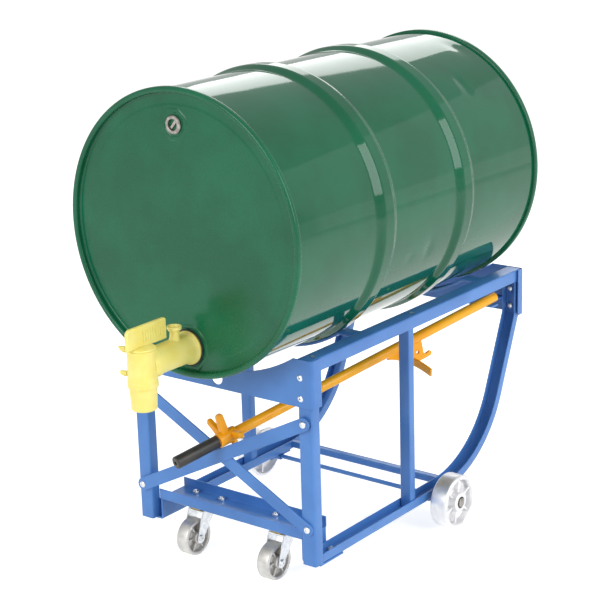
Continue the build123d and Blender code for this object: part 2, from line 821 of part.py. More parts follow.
for side, name in sides:
    pin_x = side * kingpin_x
    with BuildPart() as caster_pad:
        with BuildSketch(level(pad_under)):
            with Locations((pin_x, tray_y)):
                RectangleRounded(pad_x, pad_y, rim_round)
                Circle(kingpin_r, mode=Mode.SUBTRACT)
                with GridLocations(pad_bolt_x, pad_bolt_y, 2, 2):
                    Circle(bolt_hole, mode=Mode.SUBTRACT)
        extrude(amount=sheet)
        with BuildSketch(level(crown_top + 2 * seat_gap)):
            with Locations((pin_x, tray_y)):
                Circle(skirt_r)
                Circle(skirt_r - skirt_t, mode=Mode.SUBTRACT)
        extrude(amount=pad_under - crown_top - 2 * seat_gap)
    save(caster_pad, f"{name}_caster_pad")

    with BuildPart() as kingpin:
        with BuildSketch(level(crown_under - seat_gap)):
            with Locations((pin_x, tray_y)):
                Circle(kingpin_r)
        extrude(amount=tray_z - crown_under + seat_gap)
        with BuildSketch(level(crown_under - seat_gap)):
            with Locations((pin_x, tray_y)):
                Circle(kingpin_head_r)
        extrude(amount=-kingpin_head_h)
    save(kingpin, f"{name}_kingpin")

    with BuildPart() as swivel_balls:
        with Locations((pin_x, tray_y, pad_under - run_gap - ball_r)):
            with PolarLocations(race_r, ball_count):
                Sphere(ball_r)
    save(swivel_balls, f"{name}_swivel_balls")

    leg_inner = caster_width / 2 + sheet
    with BuildPart() as caster_fork:
        with BuildSketch(level(crown_under)):
            with Locations((pin_x, tray_y)):
                Rectangle(2 * (leg_inner + fork_t), 2 * fork_half)
                Circle(kingpin_r + run_gap, mode=Mode.SUBTRACT)
        extrude(amount=crown_t)
        with BuildSketch(level(crown_top)):
            with Locations((pin_x, tray_y)):
                Circle(race_r + race_width / 2)
                Circle(race_r - race_width / 2, mode=Mode.SUBTRACT)
        extrude(amount=race_top - crown_top)
        for face in (-1, 1):
            with BuildSketch(sideways(pin_x + face * leg_inner)):
                with Locations((along(caster_station), caster_r)):
                    Circle(fork_boss)
                with Locations((tray_y, crown_under - fork_t / 2)):
                    Rectangle(2 * fork_half, fork_t)
                make_hull()
                with Locations((along(caster_station), caster_r)):
                    Circle(caster_axle_r + run_gap, mode=Mode.SUBTRACT)
            extrude(amount=face * fork_t)
    save(caster_fork, f"{name}_caster_fork")

    with BuildPart() as caster_axle:
        seat = axle_plane(pin_x + leg_inner + fork_t, caster_station, caster_r)
        add_bolt(seat, 2 * (leg_inner + fork_t), caster_axle_r)
    save(caster_axle, f"{name}_caster_axle")

    with BuildPart() as caster_wheel:
        middle_plane = axle_plane(pin_x, caster_station, caster_r)
        with BuildSketch(middle_plane):
            Circle(caster_r)
        extrude(amount=caster_width / 2, both=True)
        fillet(caster_wheel.edges().filter_by(GeomType.CIRCLE), caster_edge)
        for face in (-1, 1):
            with BuildSketch(middle_plane.offset(face * caster_web / 2)):
                Circle(caster_r - caster_rim)
                Circle(caster_hub_r, mode=Mode.SUBTRACT)
            extrude(amount=face * caster_width, mode=Mode.SUBTRACT)
        with BuildSketch(middle_plane):
            Circle(caster_hub_r)
        extrude(amount=caster_hub / 2, both=True)
        with BuildSketch(middle_plane):
            Circle(caster_axle_r + run_gap)
        extrude(amount=caster_hub, both=True, mode=Mode.SUBTRACT)
    save(caster_wheel, f"{name}_caster_wheel")

# Rear axle under the runners, held up by clips
hub_in = wheel_mid_x - wheel_width / 2 - hub_proud_in
hub_out = wheel_mid_x + wheel_width / 2 + hub_proud_out
axle_end = hub_out + seat_gap + cap_nut_t + axle_tail
with BuildPart() as rear_axle:
    with BuildSketch(axle_plane(-axle_end, axle_station, wheel_r)):
        Circle(axle_r)
    extrude(amount=2 * axle_end)
    chamfer(rear_axle.edges().filter_by(GeomType.CIRCLE), axle_chamfer)
save(rear_axle, "rear_axle")

with BuildPart() as axle_clips:
    for side in (-1, 1):
        with BuildSketch(sideways(side * channel_mid)):
            with Locations((along(axle_station), wheel_r)):
                Circle(axle_r + run_gap + clip_t)
                with Locations((0, axle_r / 2)):
                    Rectangle(2 * (axle_r + run_gap + clip_t), axle_r)
            with Locations((along(axle_station), runner_z - clip_t / 2)):
                Rectangle(clip_length, clip_t)
            with Locations((along(axle_station), runner_z + wheel_r / 2)):
                Rectangle(clip_length, wheel_r, mode=Mode.SUBTRACT)
            with Locations((along(axle_station), wheel_r)):
                Circle(axle_r + run_gap, mode=Mode.SUBTRACT)
                with Locations((0, axle_r)):
                    Rectangle(2 * (axle_r + run_gap), 2 * axle_r, mode=Mode.SUBTRACT)
        extrude(amount=clip_width / 2, both=True)
save(axle_clips, "axle_clips")

with BuildPart() as axle_spacers:
    for side in (-1, 1):
        spacer_in = channel_out + seat_gap
        with BuildSketch(axle_plane(side * spacer_in, axle_station, wheel_r)):
            Circle(spacer_r)
            Circle(axle_r + run_gap, mode=Mode.SUBTRACT)
        extrude(amount=side * (hub_in - spacer_in - seat_gap))
save(axle_spacers, "axle_spacers")

with BuildPart() as axle_caps:
    for side in (-1, 1):
        with BuildSketch(axle_plane(side * (hub_out + seat_gap), axle_station, wheel_r)):
            Circle(cap_nut_r)
            Circle(axle_r, mode=Mode.SUBTRACT)
        extrude(amount=side * cap_nut_t)
save(axle_caps, "axle_caps")

# Cast rear wheels with ribbed webs, each on a roller bearing
for side, name in sides:
    wheel_plane = axle_plane(side * wheel_mid_x, axle_station, wheel_r)
    with BuildPart() as rear_wheel:
        with BuildSketch(wheel_plane):
            Circle(wheel_r)
        extrude(amount=wheel_width / 2, both=True)
        fillet(rear_wheel.edges().filter_by(GeomType.CIRCLE), wheel_edge)
        for face in (-1, 1):
            with BuildSketch(wheel_plane.offset(face * wheel_web / 2)):
                Circle(wheel_r - wheel_rim)
            extrude(amount=face * wheel_width, mode=Mode.SUBTRACT)
        with BuildSketch(axle_plane(side * hub_in, axle_station, wheel_r)):
            Circle(hub_r)
        extrude(amount=side * (hub_out - hub_in))
        rib_in = hub_r - sheet
        rib_out = wheel_r - wheel_rim + sheet
        with BuildSketch(wheel_plane):
            with PolarLocations((rib_in + rib_out) / 2, wheel_ribs):
                Rectangle(rib_out - rib_in, rib_t)
        extrude(amount=wheel_width / 2 - wheel_edge, both=True)
        with BuildSketch(wheel_plane):
            Circle(bearing_r)
        extrude(amount=2 * wheel_width, both=True, mode=Mode.SUBTRACT)
    save(rear_wheel, f"{name}_rear_wheel")

    with BuildPart() as wheel_bearing:
        with BuildSketch(axle_plane(side * hub_in, axle_station, wheel_r)):
            Circle(bearing_r - run_gap / 2)
            Circle(axle_r + run_gap, mode=Mode.SUBTRACT)
        extrude(amount=side * (hub_out - hub_in))
    save(wheel_bearing, f"{name}_wheel_bearing")

# Cross bar between the runners
with BuildPart() as rear_cross_bar:
    with BuildSketch(sideways(-channel_in)):
        with Locations((along(cross_station), runner_z + channel_depth - cross_size / 2)):
            Rectangle(cross_size, cross_size)
    extrude(amount=2 * channel_in)
save(rear_cross_bar, "rear_cross_bar")

# Lever: its wrench head lies in the upper notch of the brace, its tail on a shelf under the right rail
pitch = radians(lever_pitch)
yaw = asin((channel_in + tail_lap - lever_front_x) / (lever_tail * cos(pitch)))
lever_dir = Vector(sin(yaw) * cos(pitch), cos(yaw) * cos(pitch), sin(pitch))
lever_left = Vector(-cos(yaw), sin(yaw), 0)
brace_back = leg_station - bar_t
notch_z = brace_mid + bar_width / 2 / cos(brace_tilt)


def seat_height(slope, face_station):
    # Height at the brace's mid plane that keeps the collar clear of one bar's upper front edge.
    edge = Vector(cos(brace_tilt), 0, slope * sin(brace_tilt))
    lift = edge.cross(lever_dir).normalized()
    lift = lift if lift.Z > 0 else -lift
    offset = lever_front_x * lift.X + (brace_back - face_station) * lift.Y
    return notch_z + (collar_r + seat_gap - offset) / lift.Z


lever_z = max(seat_height(1, leg_station - 2 * bar_t), seat_height(-1, brace_back))
lever_from = Vector(lever_front_x, along(brace_back), lever_z)
lever_plane = Plane(origin=lever_from, x_dir=lever_left, z_dir=lever_dir)
lever_side = Plane(origin=lever_from, x_dir=lever_dir, z_dir=-lever_left)

with BuildPart() as lever_tube:
    with BuildSketch(lever_plane.offset(grip_end - lever_lead)):
        Circle(tube_r)
        Circle(tube_r - tube_wall, mode=Mode.SUBTRACT)
    extrude(amount=lever_tail + lever_lead - grip_end)
save(lever_tube, "lever_tube")

with BuildPart() as lever_grip:
    with BuildSketch(lever_plane.offset(-lever_lead)):
        Circle(grip_r)
    extrude(amount=lever_lead - grip_stop)
    with BuildSketch(lever_plane.offset(grip_end - lever_lead)):
        Circle(tube_r + run_gap / 2)
    extrude(amount=lever_lead, mode=Mode.SUBTRACT)
    with BuildSketch(lever_plane.offset(-lever_lead)):
        Circle(grip_hole_r)
    extrude(amount=grip_end, mode=Mode.SUBTRACT)
save(lever_grip, "lever_grip")

# Bung wrench: a collar with four lugs
with BuildPart() as wrench_head:
    with BuildSketch(lever_plane.offset(collar_start)):
        Circle(collar_r)
    extrude(amount=collar_length)
    for place, angle, reach, width, depth in zip(lug_stations, lug_angles, lug_reaches, lug_widths, lug_depths):
        with BuildSketch(lever_plane.offset(place)):
            with PolarLocations((reach + tube_r) / 2, 1, start_angle=angle):
                RectangleRounded(reach - tube_r, width, lug_round)
        extrude(amount=depth / 2, both=True)
    with BuildSketch(lever_plane.offset(collar_start)):
        Circle(tube_r + run_gap / 2)
    extrude(amount=collar_length, mode=Mode.SUBTRACT)
save(wrench_head, "wrench_head")

# Hook under the tube that grips a drum's rim, and the arched heel across it
prong_back = (hook_end - prong_r, -hook_drop + prong_r)
prong_tip = (
    prong_back[0] + prong_reach * cos(radians(prong_rise)),
    prong_back[1] + prong_reach * sin(radians(prong_rise)),
)
with BuildPart() as chime_hook:
    with BuildSketch(lever_side):
        with BuildLine():
            Polyline(
                (hook_start, -tube_r / 2),
                (hook_start + hook_nose, -hook_drop),
                (hook_end, -hook_drop),
                (hook_end, -tube_r / 2),
                close=True,
            )
        make_face()
        SlotCenterPoint(
            ((prong_back[0] + prong_tip[0]) / 2, (prong_back[1] + prong_tip[1]) / 2), prong_tip, 2 * prong_r
        )
        with Locations((hook_end - hook_eye_back, -hook_eye_drop)):
            Circle(hook_eye_r, mode=Mode.SUBTRACT)
    extrude(amount=hook_t / 2, both=True)
    with BuildSketch(lever_plane):
        Circle(tube_r + run_gap / 2)
    extrude(amount=lever_tail, mode=Mode.SUBTRACT)
    with BuildSketch(lever_plane.offset(heel_station)):
        with Locations((0, -heel_top - heel_depth / 2)):
            Rectangle(2 * hook_t, heel_depth + 2 * run_gap)
    extrude(amount=heel_t / 2 + run_gap, both=True, mode=Mode.SUBTRACT)
save(chime_hook, "chime_hook")

with BuildPart() as hook_heel:
    with BuildSketch(lever_plane.offset(heel_station)):
        with Locations((0, -heel_top - heel_r)):
            Circle(heel_r)
            Circle(heel_r - heel_depth, mode=Mode.SUBTRACT)
        with Locations((0, -heel_top - heel_depth)):
            Rectangle(2 * heel_half, 2 * heel_depth, mode=Mode.INTERSECT)
    extrude(amount=heel_t / 2, both=True)
save(hook_heel, "hook_heel")

# Shelf beside the right runner, under the lever's tail
shelf_back = tail_station - sheet - bolt_head_h - hole_gap
shelf_run = (shelf_station - brace_back) * lever_dir.Z / lever_dir.Y
shelf_top = lever_z + shelf_run - tube_r / cos(pitch) - seat_gap
with BuildPart() as lever_shelf:
    with BuildSketch(level(shelf_top)):
        with BuildLine():
            Polyline(
                (channel_in - shelf_side, along(shelf_station)),
                (channel_in + shelf_tip, along(shelf_station)),
                (channel_in + shelf_tip, along(shelf_station + shelf_rest)),
                (channel_in, along(shelf_station + shelf_rest + shelf_taper)),
                (channel_in, along(shelf_back)),
                (channel_in - shelf_side, along(shelf_back)),
                close=True,
            )
        make_face()
    extrude(amount=-shelf_t)
save(lever_shelf, "lever_shelf")
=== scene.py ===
from math import cos, pi, radians, sin, sqrt, tan
import bmesh
import bpy
import numpy as np
from mathutils import Matrix, Vector
from mathutils.geometry import tessellate_polygon


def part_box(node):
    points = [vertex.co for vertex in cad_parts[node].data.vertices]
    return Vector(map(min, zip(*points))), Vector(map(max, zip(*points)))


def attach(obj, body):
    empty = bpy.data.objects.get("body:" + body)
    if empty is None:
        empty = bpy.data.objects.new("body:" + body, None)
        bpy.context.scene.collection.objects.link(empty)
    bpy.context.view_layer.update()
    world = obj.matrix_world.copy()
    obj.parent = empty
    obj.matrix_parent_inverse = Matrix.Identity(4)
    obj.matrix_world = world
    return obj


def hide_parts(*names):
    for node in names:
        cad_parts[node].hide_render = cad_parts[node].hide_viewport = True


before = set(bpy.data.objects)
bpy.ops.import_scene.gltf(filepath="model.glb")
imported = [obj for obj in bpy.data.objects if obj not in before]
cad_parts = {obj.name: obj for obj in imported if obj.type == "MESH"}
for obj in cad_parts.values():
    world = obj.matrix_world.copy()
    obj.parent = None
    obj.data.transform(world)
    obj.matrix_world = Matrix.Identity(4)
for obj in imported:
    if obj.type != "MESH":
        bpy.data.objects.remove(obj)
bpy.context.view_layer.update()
mm = 0.001
rimY = -362.25  # the drum's front rim in the frame; pieces give stations behind it, in mm
sharpFrom = radians(38)  # edges that fold more than this are drawn sharp
both = ((-1, "left"), (1, "right"))
print("frame loaded:", len(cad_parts), "nodes")


# colours and nodes
def tint(hexText):
    # sRGB hex to linear: ((c + 0.055) / 1.055) to the power 2.4
    part = np.array([int(hexText[i:i + 2], 16) for i in (1, 3, 5)]) / 255
    linear = np.where(part <= 0.04045, part / 12.92, ((part + 0.055) / 1.055) ** 2.4)
    return (*linear.tolist(), 1.0)


def addNode(tree, kind, inputs=None, **settings):
    # one node with its settings; an input that is a socket is linked, any other is set
    node = tree.nodes.new(kind)
    for key, value in settings.items():
        setattr(node, key, value)
    for key, value in (inputs or {}).items():
        if isinstance(value, bpy.types.NodeSocket):
            tree.links.new(value, node.inputs[key])
        else:
            node.inputs[key].default_value = value
    return node


def startMaterial(name, roughness, metallic=0.0, ior=None, coat=0.0, coatRoughness=0.05):
    # the even values go on the shader; patterns read the piece's Object coordinates, in metres
    material = bpy.data.materials.new(name)
    material.use_nodes = True
    tree = material.node_tree
    shader = tree.nodes["Principled BSDF"]
    shader.inputs["Roughness"].default_value = roughness
    shader.inputs["Metallic"].default_value = metallic
    shader.inputs["Coat Weight"].default_value = coat
    shader.inputs["Coat Roughness"].default_value = coatRoughness
    if ior:
        shader.inputs["IOR"].default_value = ior
    place = addNode(tree, "ShaderNodeTexCoord").outputs["Object"]
    return material, tree, shader, place


def perMetre(sizeMm):
    return 1000 / sizeMm  # how many features of this size fit in a metre


def twoTone(tree, shader, mask, dark, light, low=0.4, high=0.6):
    # the colour goes from dark to light as the mask goes from low to high
    ramp = addNode(tree, "ShaderNodeValToRGB", {"Fac": mask})
    ramp.color_ramp.elements[0].position = low
    ramp.color_ramp.elements[0].color = tint(dark)
    ramp.color_ramp.elements[1].position = high
    ramp.color_ramp.elements[1].color = tint(light)
    tree.links.new(ramp.outputs["Color"], shader.inputs["Base Color"])


def roughBetween(tree, shader, mask, low, high):
    # the mask spreads the roughness from low to high
    span = addNode(tree, "ShaderNodeMapRange", {"Value": mask, "To Min": low, "To Max": high})
    tree.links.new(span.outputs["Result"], shader.inputs["Roughness"])


def bumped(tree, shader, layers):
    # each layer is (height, how deep in mm, strength); they are stacked on one normal
    normal = None
    for height, depth, strength in layers:
        inputs = {"Height": height, "Distance": depth * mm, "Strength": strength}
        if normal:
            inputs["Normal"] = normal
        normal = addNode(tree, "ShaderNodeBump", inputs).outputs["Normal"]
    tree.links.new(normal, shader.inputs["Normal"])


def makeEnamel(name, dark, light, peel, wave, waveDepth, rough, dust, ior, coat=0.0):
    # sprayed enamel: a smooth coloured film with orange peel, soft waves of the sheet below, and a little dust
    material, tree, shader, place = startMaterial(name, rough[0], ior=ior, coat=coat, coatRoughness=0.06)
    broad = addNode(tree, "ShaderNodeTexNoise", {"Vector": place, "Scale": perMetre(140), "Detail": 3.0})
    skin = addNode(tree, "ShaderNodeTexNoise", {"Vector": place, "Scale": perMetre(peel), "Detail": 1.0})
    sheetWave = addNode(tree, "ShaderNodeTexNoise", {"Vector": place, "Scale": perMetre(wave), "Detail": 1.0})
    specks = addNode(tree, "ShaderNodeTexNoise", {"Vector": place, "Scale": perMetre(2.4), "Detail": 6.0})
    twoTone(tree, shader, broad.outputs["Fac"], dark, light)
    dusty = addNode(tree, "ShaderNodeMapRange", {"Value": specks.outputs["Fac"], "From Min": dust, "From Max": 0.85,
                                                 "To Min": rough[0], "To Max": rough[1]})
    tree.links.new(dusty.outputs["Result"], shader.inputs["Roughness"])
    bumped(tree, shader, [(sheetWave.outputs["Fac"], waveDepth, 1.0), (skin.outputs["Fac"], 0.05, 0.35)])
    return material


# blue and orange: half gloss on folded steel; green: glossy on the rolled shell, satin where the heads are scuffed
blueEnamel = makeEnamel("blueEnamelSprayed", "#4377bd", "#4d83ca", peel=2.6, wave=60, waveDepth=0.05, rough=(0.3, 0.5),
                        dust=0.55, ior=1.45, coat=0.1)
greenEnamel = makeEnamel("greenEnamelBaked", "#07583a", "#0a6041", peel=3.2, wave=110, waveDepth=0.3, rough=(0.06, 0.2),
                         dust=0.6, ior=1.4)
headEnamel = makeEnamel("greenEnamelBakedScuffed", "#07593b", "#0b6444", peel=1.8, wave=90, waveDepth=0.5,
                        rough=(0.2, 0.45), dust=0.5, ior=1.38)
orangeEnamel = makeEnamel("orangeEnamelSprayed", "#f5a518", "#fcb428", peel=2.2, wave=40, waveDepth=0.03,
                          rough=(0.28, 0.45), dust=0.55, ior=1.4)


def makeZinc(name, dark, light, rough):
    # zinc plate on pressed steel: bright grey metal, cloudy, with a fine grain from the pickling bath; the real grain
    # is finer, and is drawn at 0.8 mm so that it shows
    material, tree, shader, place = startMaterial(name, rough[0], metallic=1.0)
    cloud = addNode(tree, "ShaderNodeTexNoise", {"Vector": place, "Scale": perMetre(9), "Detail": 4.0})
    grain = addNode(tree, "ShaderNodeTexNoise", {"Vector": place, "Scale": perMetre(0.8), "Detail": 2.0})
    twoTone(tree, shader, cloud.outputs["Fac"], dark, light)
    roughBetween(tree, shader, cloud.outputs["Fac"], *rough)
    bumped(tree, shader, [(grain.outputs["Fac"], 0.03, 0.5)])
    return material


brightZinc = makeZinc("zincPlateBright", "#d2d5d7", "#e6e8e9", rough=(0.22, 0.4))
yellowZinc = makeZinc("zincPlateYellowPassivated", "#b39a4e", "#d4bd72", rough=(0.25, 0.42))
dullZinc = makeZinc("zincPlateDull", "#8d8983", "#a9a59f", rough=(0.35, 0.5))
# the dark oiled steel of the bearings also serves as painted shade on the floor of the vent plug's well
darkSteelAndWellShade = makeZinc("bearingSteelOiledAndWellShade", "#2b2a29", "#474645", rough=(0.35, 0.5))


def makeCastAlloy(name, dark, light):
    # sand cast wheel with a turned tread: pale matt grey, grainy in the web, rings round the tread; the tool marks are
    # drawn 4.4 mm apart, coarser than real ones, so that they show (a band repeats every 2 pi / 20 of the scaled length)
    material, tree, shader, place = startMaterial(name, 0.4, metallic=0.85)
    grain = addNode(tree, "ShaderNodeTexNoise", {"Vector": place, "Scale": perMetre(1.6), "Detail": 3.0})
    cloud = addNode(tree, "ShaderNodeTexNoise", {"Vector": place, "Scale": perMetre(22), "Detail": 3.0})
    rings = addNode(tree, "ShaderNodeTexWave", {"Vector": place, "Scale": perMetre(4.4) * pi / 10, "Distortion": 0.6,
                                                "Detail": 2.0}, wave_type="BANDS", bands_direction="X")
    twoTone(tree, shader, cloud.outputs["Fac"], dark, light, 0.3, 0.7)
    roughBetween(tree, shader, cloud.outputs["Fac"], 0.34, 0.5)
    bumped(tree, shader, [(grain.outputs["Fac"], 0.12, 0.5), (rings.outputs["Fac"], 0.03, 0.4)])
    return material


castAlloy = makeCastAlloy("castAlloyTurned", "#dbdbdd", "#f0f0f1")
# a darker copy of the same alloy for the caster wheels: painted shade, for the shade they sit in under the tray
shadedCasterAlloy = makeCastAlloy("castAlloyPaintedShade", "#b9b7b3", "#d6d4d0")


def makeMoulded(name, dark, light, ior, rough, grainMm, grainDepth, glow=0.0):
    # moulded plastic or rubber: even colour, mould grain drawn coarse enough to show, and light that sinks in a little
    material, tree, shader, place = startMaterial(name, rough[0], ior=ior)
    cloud = addNode(tree, "ShaderNodeTexNoise", {"Vector": place, "Scale": perMetre(35), "Detail": 2.0})
    grain = addNode(tree, "ShaderNodeTexNoise", {"Vector": place, "Scale": perMetre(grainMm), "Detail": 2.0})
    twoTone(tree, shader, cloud.outputs["Fac"], dark, light, 0.35, 0.65)
    roughBetween(tree, shader, cloud.outputs["Fac"], *rough)
    shader.inputs["Subsurface Weight"].default_value = glow
    shader.inputs["Subsurface Radius"].default_value = (1.0, 0.6, 0.15)
    shader.inputs["Subsurface Scale"].default_value = 0.004
    bumped(tree, shader, [(grain.outputs["Fac"], grainDepth, 0.6)])
    return material


tapPlastic = makeMoulded("polyethyleneMoulded", "#f3e27a", "#f8ea8c", ior=1.51, rough=(0.34, 0.46), grainMm=1.1,
                         grainDepth=0.04, glow=0.25)
gripRubber = makeMoulded("vinylDipped", "#24221f", "#33302c", ior=1.52, rough=(0.38, 0.5), grainMm=1.4, grainDepth=0.05)
gasketRubber = makeMoulded("nitrileMoulded", "#121413", "#1b1d1c", ior=1.52, rough=(0.5, 0.62), grainMm=0.9,
                           grainDepth=0.05)
# the finish of each slot, where a piece names no other
finishes = {"blue_enamel": blueEnamel, "green_enamel": greenEnamel, "orange_enamel": orangeEnamel, "zinc_plate": brightZinc,
            "grey_cast_wheel": castAlloy, "black_bearing": darkSteelAndWellShade, "yellow_plastic": tapPlastic,
            "black_rubber": gripRubber}
print("materials made:", len(bpy.data.materials))


# shapes: each returns its points in mm, in the frame, and a list of face arrays
def at(x, station, z):
    return np.array([x, station + rimY, z], float)


def unit(vector):
    return np.asarray(vector, float) / np.linalg.norm(vector)


def rounded(corners, radius, steps=5, closed=True):
    # each corner of the outline is replaced by an arc tangent to both its sides: middle + cos(t) * start + sin(t) * quarter
    corners = np.asarray(corners, float)
    radii = np.array(np.broadcast_to(radius, len(corners)), float)
    if not closed:
        radii[[0, -1]] = 0
    sharp = radii <= 0
    before, after = np.roll(corners, 1, 0) - corners, np.roll(corners, -1, 0) - corners
    with np.errstate(divide="ignore", invalid="ignore"):  # a sharp corner may lie on a straight line; its arc is dropped
        before = before / np.linalg.norm(before, axis=1, keepdims=True)
        after = after / np.linalg.norm(after, axis=1, keepdims=True)
        half = np.arccos(np.clip((before * after).sum(1), -1, 1)) / 2
        toMiddle = before + after
        toMiddle = toMiddle / np.linalg.norm(toMiddle, axis=1, keepdims=True) * (radii / np.sin(half))[:, None]
        start = before * (radii / np.tan(half))[:, None] - toMiddle
        end = after * (radii / np.tan(half))[:, None] - toMiddle
    turn = np.arctan2(start[:, 0] * end[:, 1] - start[:, 1] * end[:, 0], (start * end).sum(1))
    angle = (np.linspace(0, 1, steps) * turn[:, None])[..., None]
    quarter = np.stack([-start[:, 1], start[:, 0]], 1)
    line = (corners + toMiddle)[:, None] + np.cos(angle) * start[:, None] + np.sin(angle) * quarter[:, None]
    line[sharp, 0] = corners[sharp]
    kept = np.ones(line.shape[:2], bool)
    kept[sharp, 1:] = False
    return line[kept]


def boxLoop(halfU, halfV, radius, steps):
    # a rectangle about the middle with its four corners rounded
    return rounded(np.array([(-1, -1), (1, -1), (1, 1), (-1, 1)]) * (halfU, halfV), radius, steps)


def ringLine(start, end, inner, outer, soft, steps):
    # the cross section of a plain ring or tube, for turning
    return rounded([(start, inner), (end, inner), (end, outer), (start, outer)], soft, steps)


def leftOf(line):
    # unit vectors to the left of a flat line, from its gradient
    ahead = np.gradient(line, axis=0)
    ahead = ahead / np.linalg.norm(ahead, axis=1, keepdims=True)
    return np.stack([-ahead[:, 1], ahead[:, 0]], 1)


def turned(profile, origin, axis, steps=64, closed=True):
    # rows of (along, radius) swung round the axis: origin + along * axis + radius * (cos t, sin t)
    profile = np.asarray(profile, float)
    axis = unit(axis)
    across = unit(np.cross(axis, (0.3, 0.2, 0.9) if abs(axis[2]) < 0.8 else (0.9, 0.3, 0.1)))
    other = np.cross(axis, across)
    angle = np.linspace(0, 2 * pi, steps, endpoint=False)
    ring = np.cos(angle)[:, None] * across + np.sin(angle)[:, None] * other
    points = np.asarray(origin) + profile[:, :1, None] * axis + profile[:, 1:, None] * ring
    rows = len(profile)
    row = np.arange(rows if closed else rows - 1)[:, None]
    col = np.arange(steps)[None]
    nextRow, nextCol = (row + 1) % rows, (col + 1) % steps
    quads = np.stack([row * steps + col, row * steps + nextCol, nextRow * steps + nextCol, nextRow * steps + col], -1)
    return points.reshape(-1, 3), [quads.reshape(-1, 4)]


def endFaces(rows, cols):
    # one face over the first row of points and one over the last
    return [np.arange(cols)[None, ::-1], np.arange((rows - 1) * cols, rows * cols)[None]]


def swept(section, path, sideways, upward):
    # a closed outline carried along a path: path + u * sideways + v * upward, with a face over each end
    section, path = np.asarray(section, float), np.asarray(path, float)
    sideways = np.broadcast_to(sideways, path.shape)
    upward = np.broadcast_to(upward, path.shape)
    points = path[:, None] + section[None, :, :1] * sideways[:, None] + section[None, :, 1:] * upward[:, None]
    rows, cols = len(path), len(section)
    row = np.arange(rows - 1)[:, None]
    col = np.arange(cols)[None]
    nextCol = (col + 1) % cols
    quads = np.stack([row * cols + col, row * cols + nextCol, (row + 1) * cols + nextCol, (row + 1) * cols + col], -1)
    return points.reshape(-1, 3), [quads.reshape(-1, 4)] + endFaces(rows, cols)


def inset(loop, distance):
    # every point moves along the mitre of its two sides, to the left of the loop's direction
    ahead = np.roll(loop, -1, 0) - loop
    ahead = ahead / np.maximum(np.linalg.norm(ahead, axis=1, keepdims=True), 1e-9)
    left = np.stack([-ahead[:, 1], ahead[:, 0]], 1)
    mitre = left + np.roll(left, 1, 0)
    return loop + distance * 2 * mitre / np.maximum((mitre**2).sum(1, keepdims=True), 0.4)  # 0.4 holds sharp points back


def plate(outline, origin, u, v, thick, edge=0.6, holes=()):
    # an outline given a thickness; its rim is a half round, and the faces are filled between outline and holes
    u, v = unit(u), unit(v)
    normal = np.cross(u, v)
    quarter = np.linspace(0, pi / 2, 4)
    inward, downward = edge * (1 - np.sin(quarter)), edge * (1 - np.cos(quarter))
    band = edge + 0.35  # a narrow flat band keeps the shading of each face clean
    insets = np.concatenate([[band], inward, inward[::-1], [band]])
    heights = np.concatenate([[thick / 2], thick / 2 - downward, downward[::-1] - thick / 2, [-thick / 2]])
    points, faces, caps = [], [], []
    count = 0
    for loop, outward in [(outline, True)] + [(hole, False) for hole in holes]:
        loop = np.asarray(loop, float)
        ahead = np.roll(loop, -1, 0)
        area = (loop[:, 0] * ahead[:, 1] - loop[:, 1] * ahead[:, 0]).sum()
        if (area > 0) != outward:
            loop = loop[::-1]
        rings = np.stack([inset(loop, d) for d in insets])
        rows, cols = rings.shape[:2]
        flat = rings.reshape(-1, 2)
        tall = np.repeat(heights, cols)
        points.append(np.asarray(origin) + flat[:, :1] * u + flat[:, 1:] * v + tall[:, None] * normal)
        row, col = np.arange(rows - 1)[:, None], np.arange(cols)[None]
        nextCol = (col + 1) % cols
        quads = np.stack([row * cols + col, (row + 1) * cols + col, (row + 1) * cols + nextCol, row * cols + nextCol], -1)
        faces.append(quads.reshape(-1, 4) + count)
        caps.append((rings[0], count, count + (rows - 1) * cols))
        count += rows * cols
    fill = np.array(tessellate_polygon([np.insert(ring, 2, 0, axis=1).tolist() for ring, _, _ in caps]))
    for which, flip in ((1, False), (2, True)):
        index = np.concatenate([cap[which] + np.arange(len(cap[0])) for cap in caps])
        faces.append(index[fill][:, ::-1] if flip else index[fill])
    return np.concatenate(points), faces


def circleLoop(middle, radius, steps=32):
    # middle + radius * (cos t, sin t)
    angle = np.linspace(0, 2 * pi, steps, endpoint=False)
    return np.stack([middle[0] + radius * np.cos(angle), middle[1] + radius * np.sin(angle)], 1)


def addPiece(name, parts, body, node, slot, *materials):
    # parts are (points, blocks) or (points, blocks, material number); normals are turned outwards shell by shell
    points, faces, paint, count = [], [], [], 0
    for part in parts:
        points.append(part[0])
        for block in part[1]:
            faces += (block + count).tolist()
            paint += [part[2] if len(part) > 2 else 0] * len(block)
        count += len(part[0])
    mesh = bpy.data.meshes.new(name)
    mesh.from_pydata((np.concatenate(points) * mm).tolist(), [], faces)
    mesh.polygons.foreach_set("material_index", paint)
    work = bmesh.new()
    work.from_mesh(mesh)
    bmesh.ops.dissolve_degenerate(work, dist=1e-7, edges=work.edges[:])
    bmesh.ops.recalc_face_normals(work, faces=work.faces[:])
    work.to_mesh(mesh)
    work.free()
    mesh.polygons.foreach_set("use_smooth", [True] * len(mesh.polygons))
    mesh.set_sharp_from_angle(angle=sharpFrom)
    for material in materials or [finishes[slot]]:
        mesh.materials.append(material)
    piece = bpy.data.objects.new(name, mesh)
    bpy.context.scene.collection.objects.link(piece)
    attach(piece, body)
    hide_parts(node)


def addFramePiece(name, parts, node):  # blue, on the frame
    addPiece(name, parts, "frame", node, "blue_enamel")


def addPlated(name, parts, body, node):  # bright zinc, on any body
    addPiece(name, parts, body, node, "zinc_plate")


def turnedSolid(profile, origin, axis, steps=64, soft=0.8, arc=4):
    # a turned piece given by its corners from the axis out and back to the axis, each corner softened
    profile = np.asarray(profile, float)
    radii = np.where(profile[:, 1] > 0, soft, 0)
    line = rounded(profile, radii, arc, closed=False)
    line[:, 1] = np.maximum(line[:, 1], 0.02)  # a pinhole at each pole keeps the mesh simple
    points, blocks = turned(line, origin, axis, steps, closed=False)
    return points, blocks + endFaces(len(line), steps)


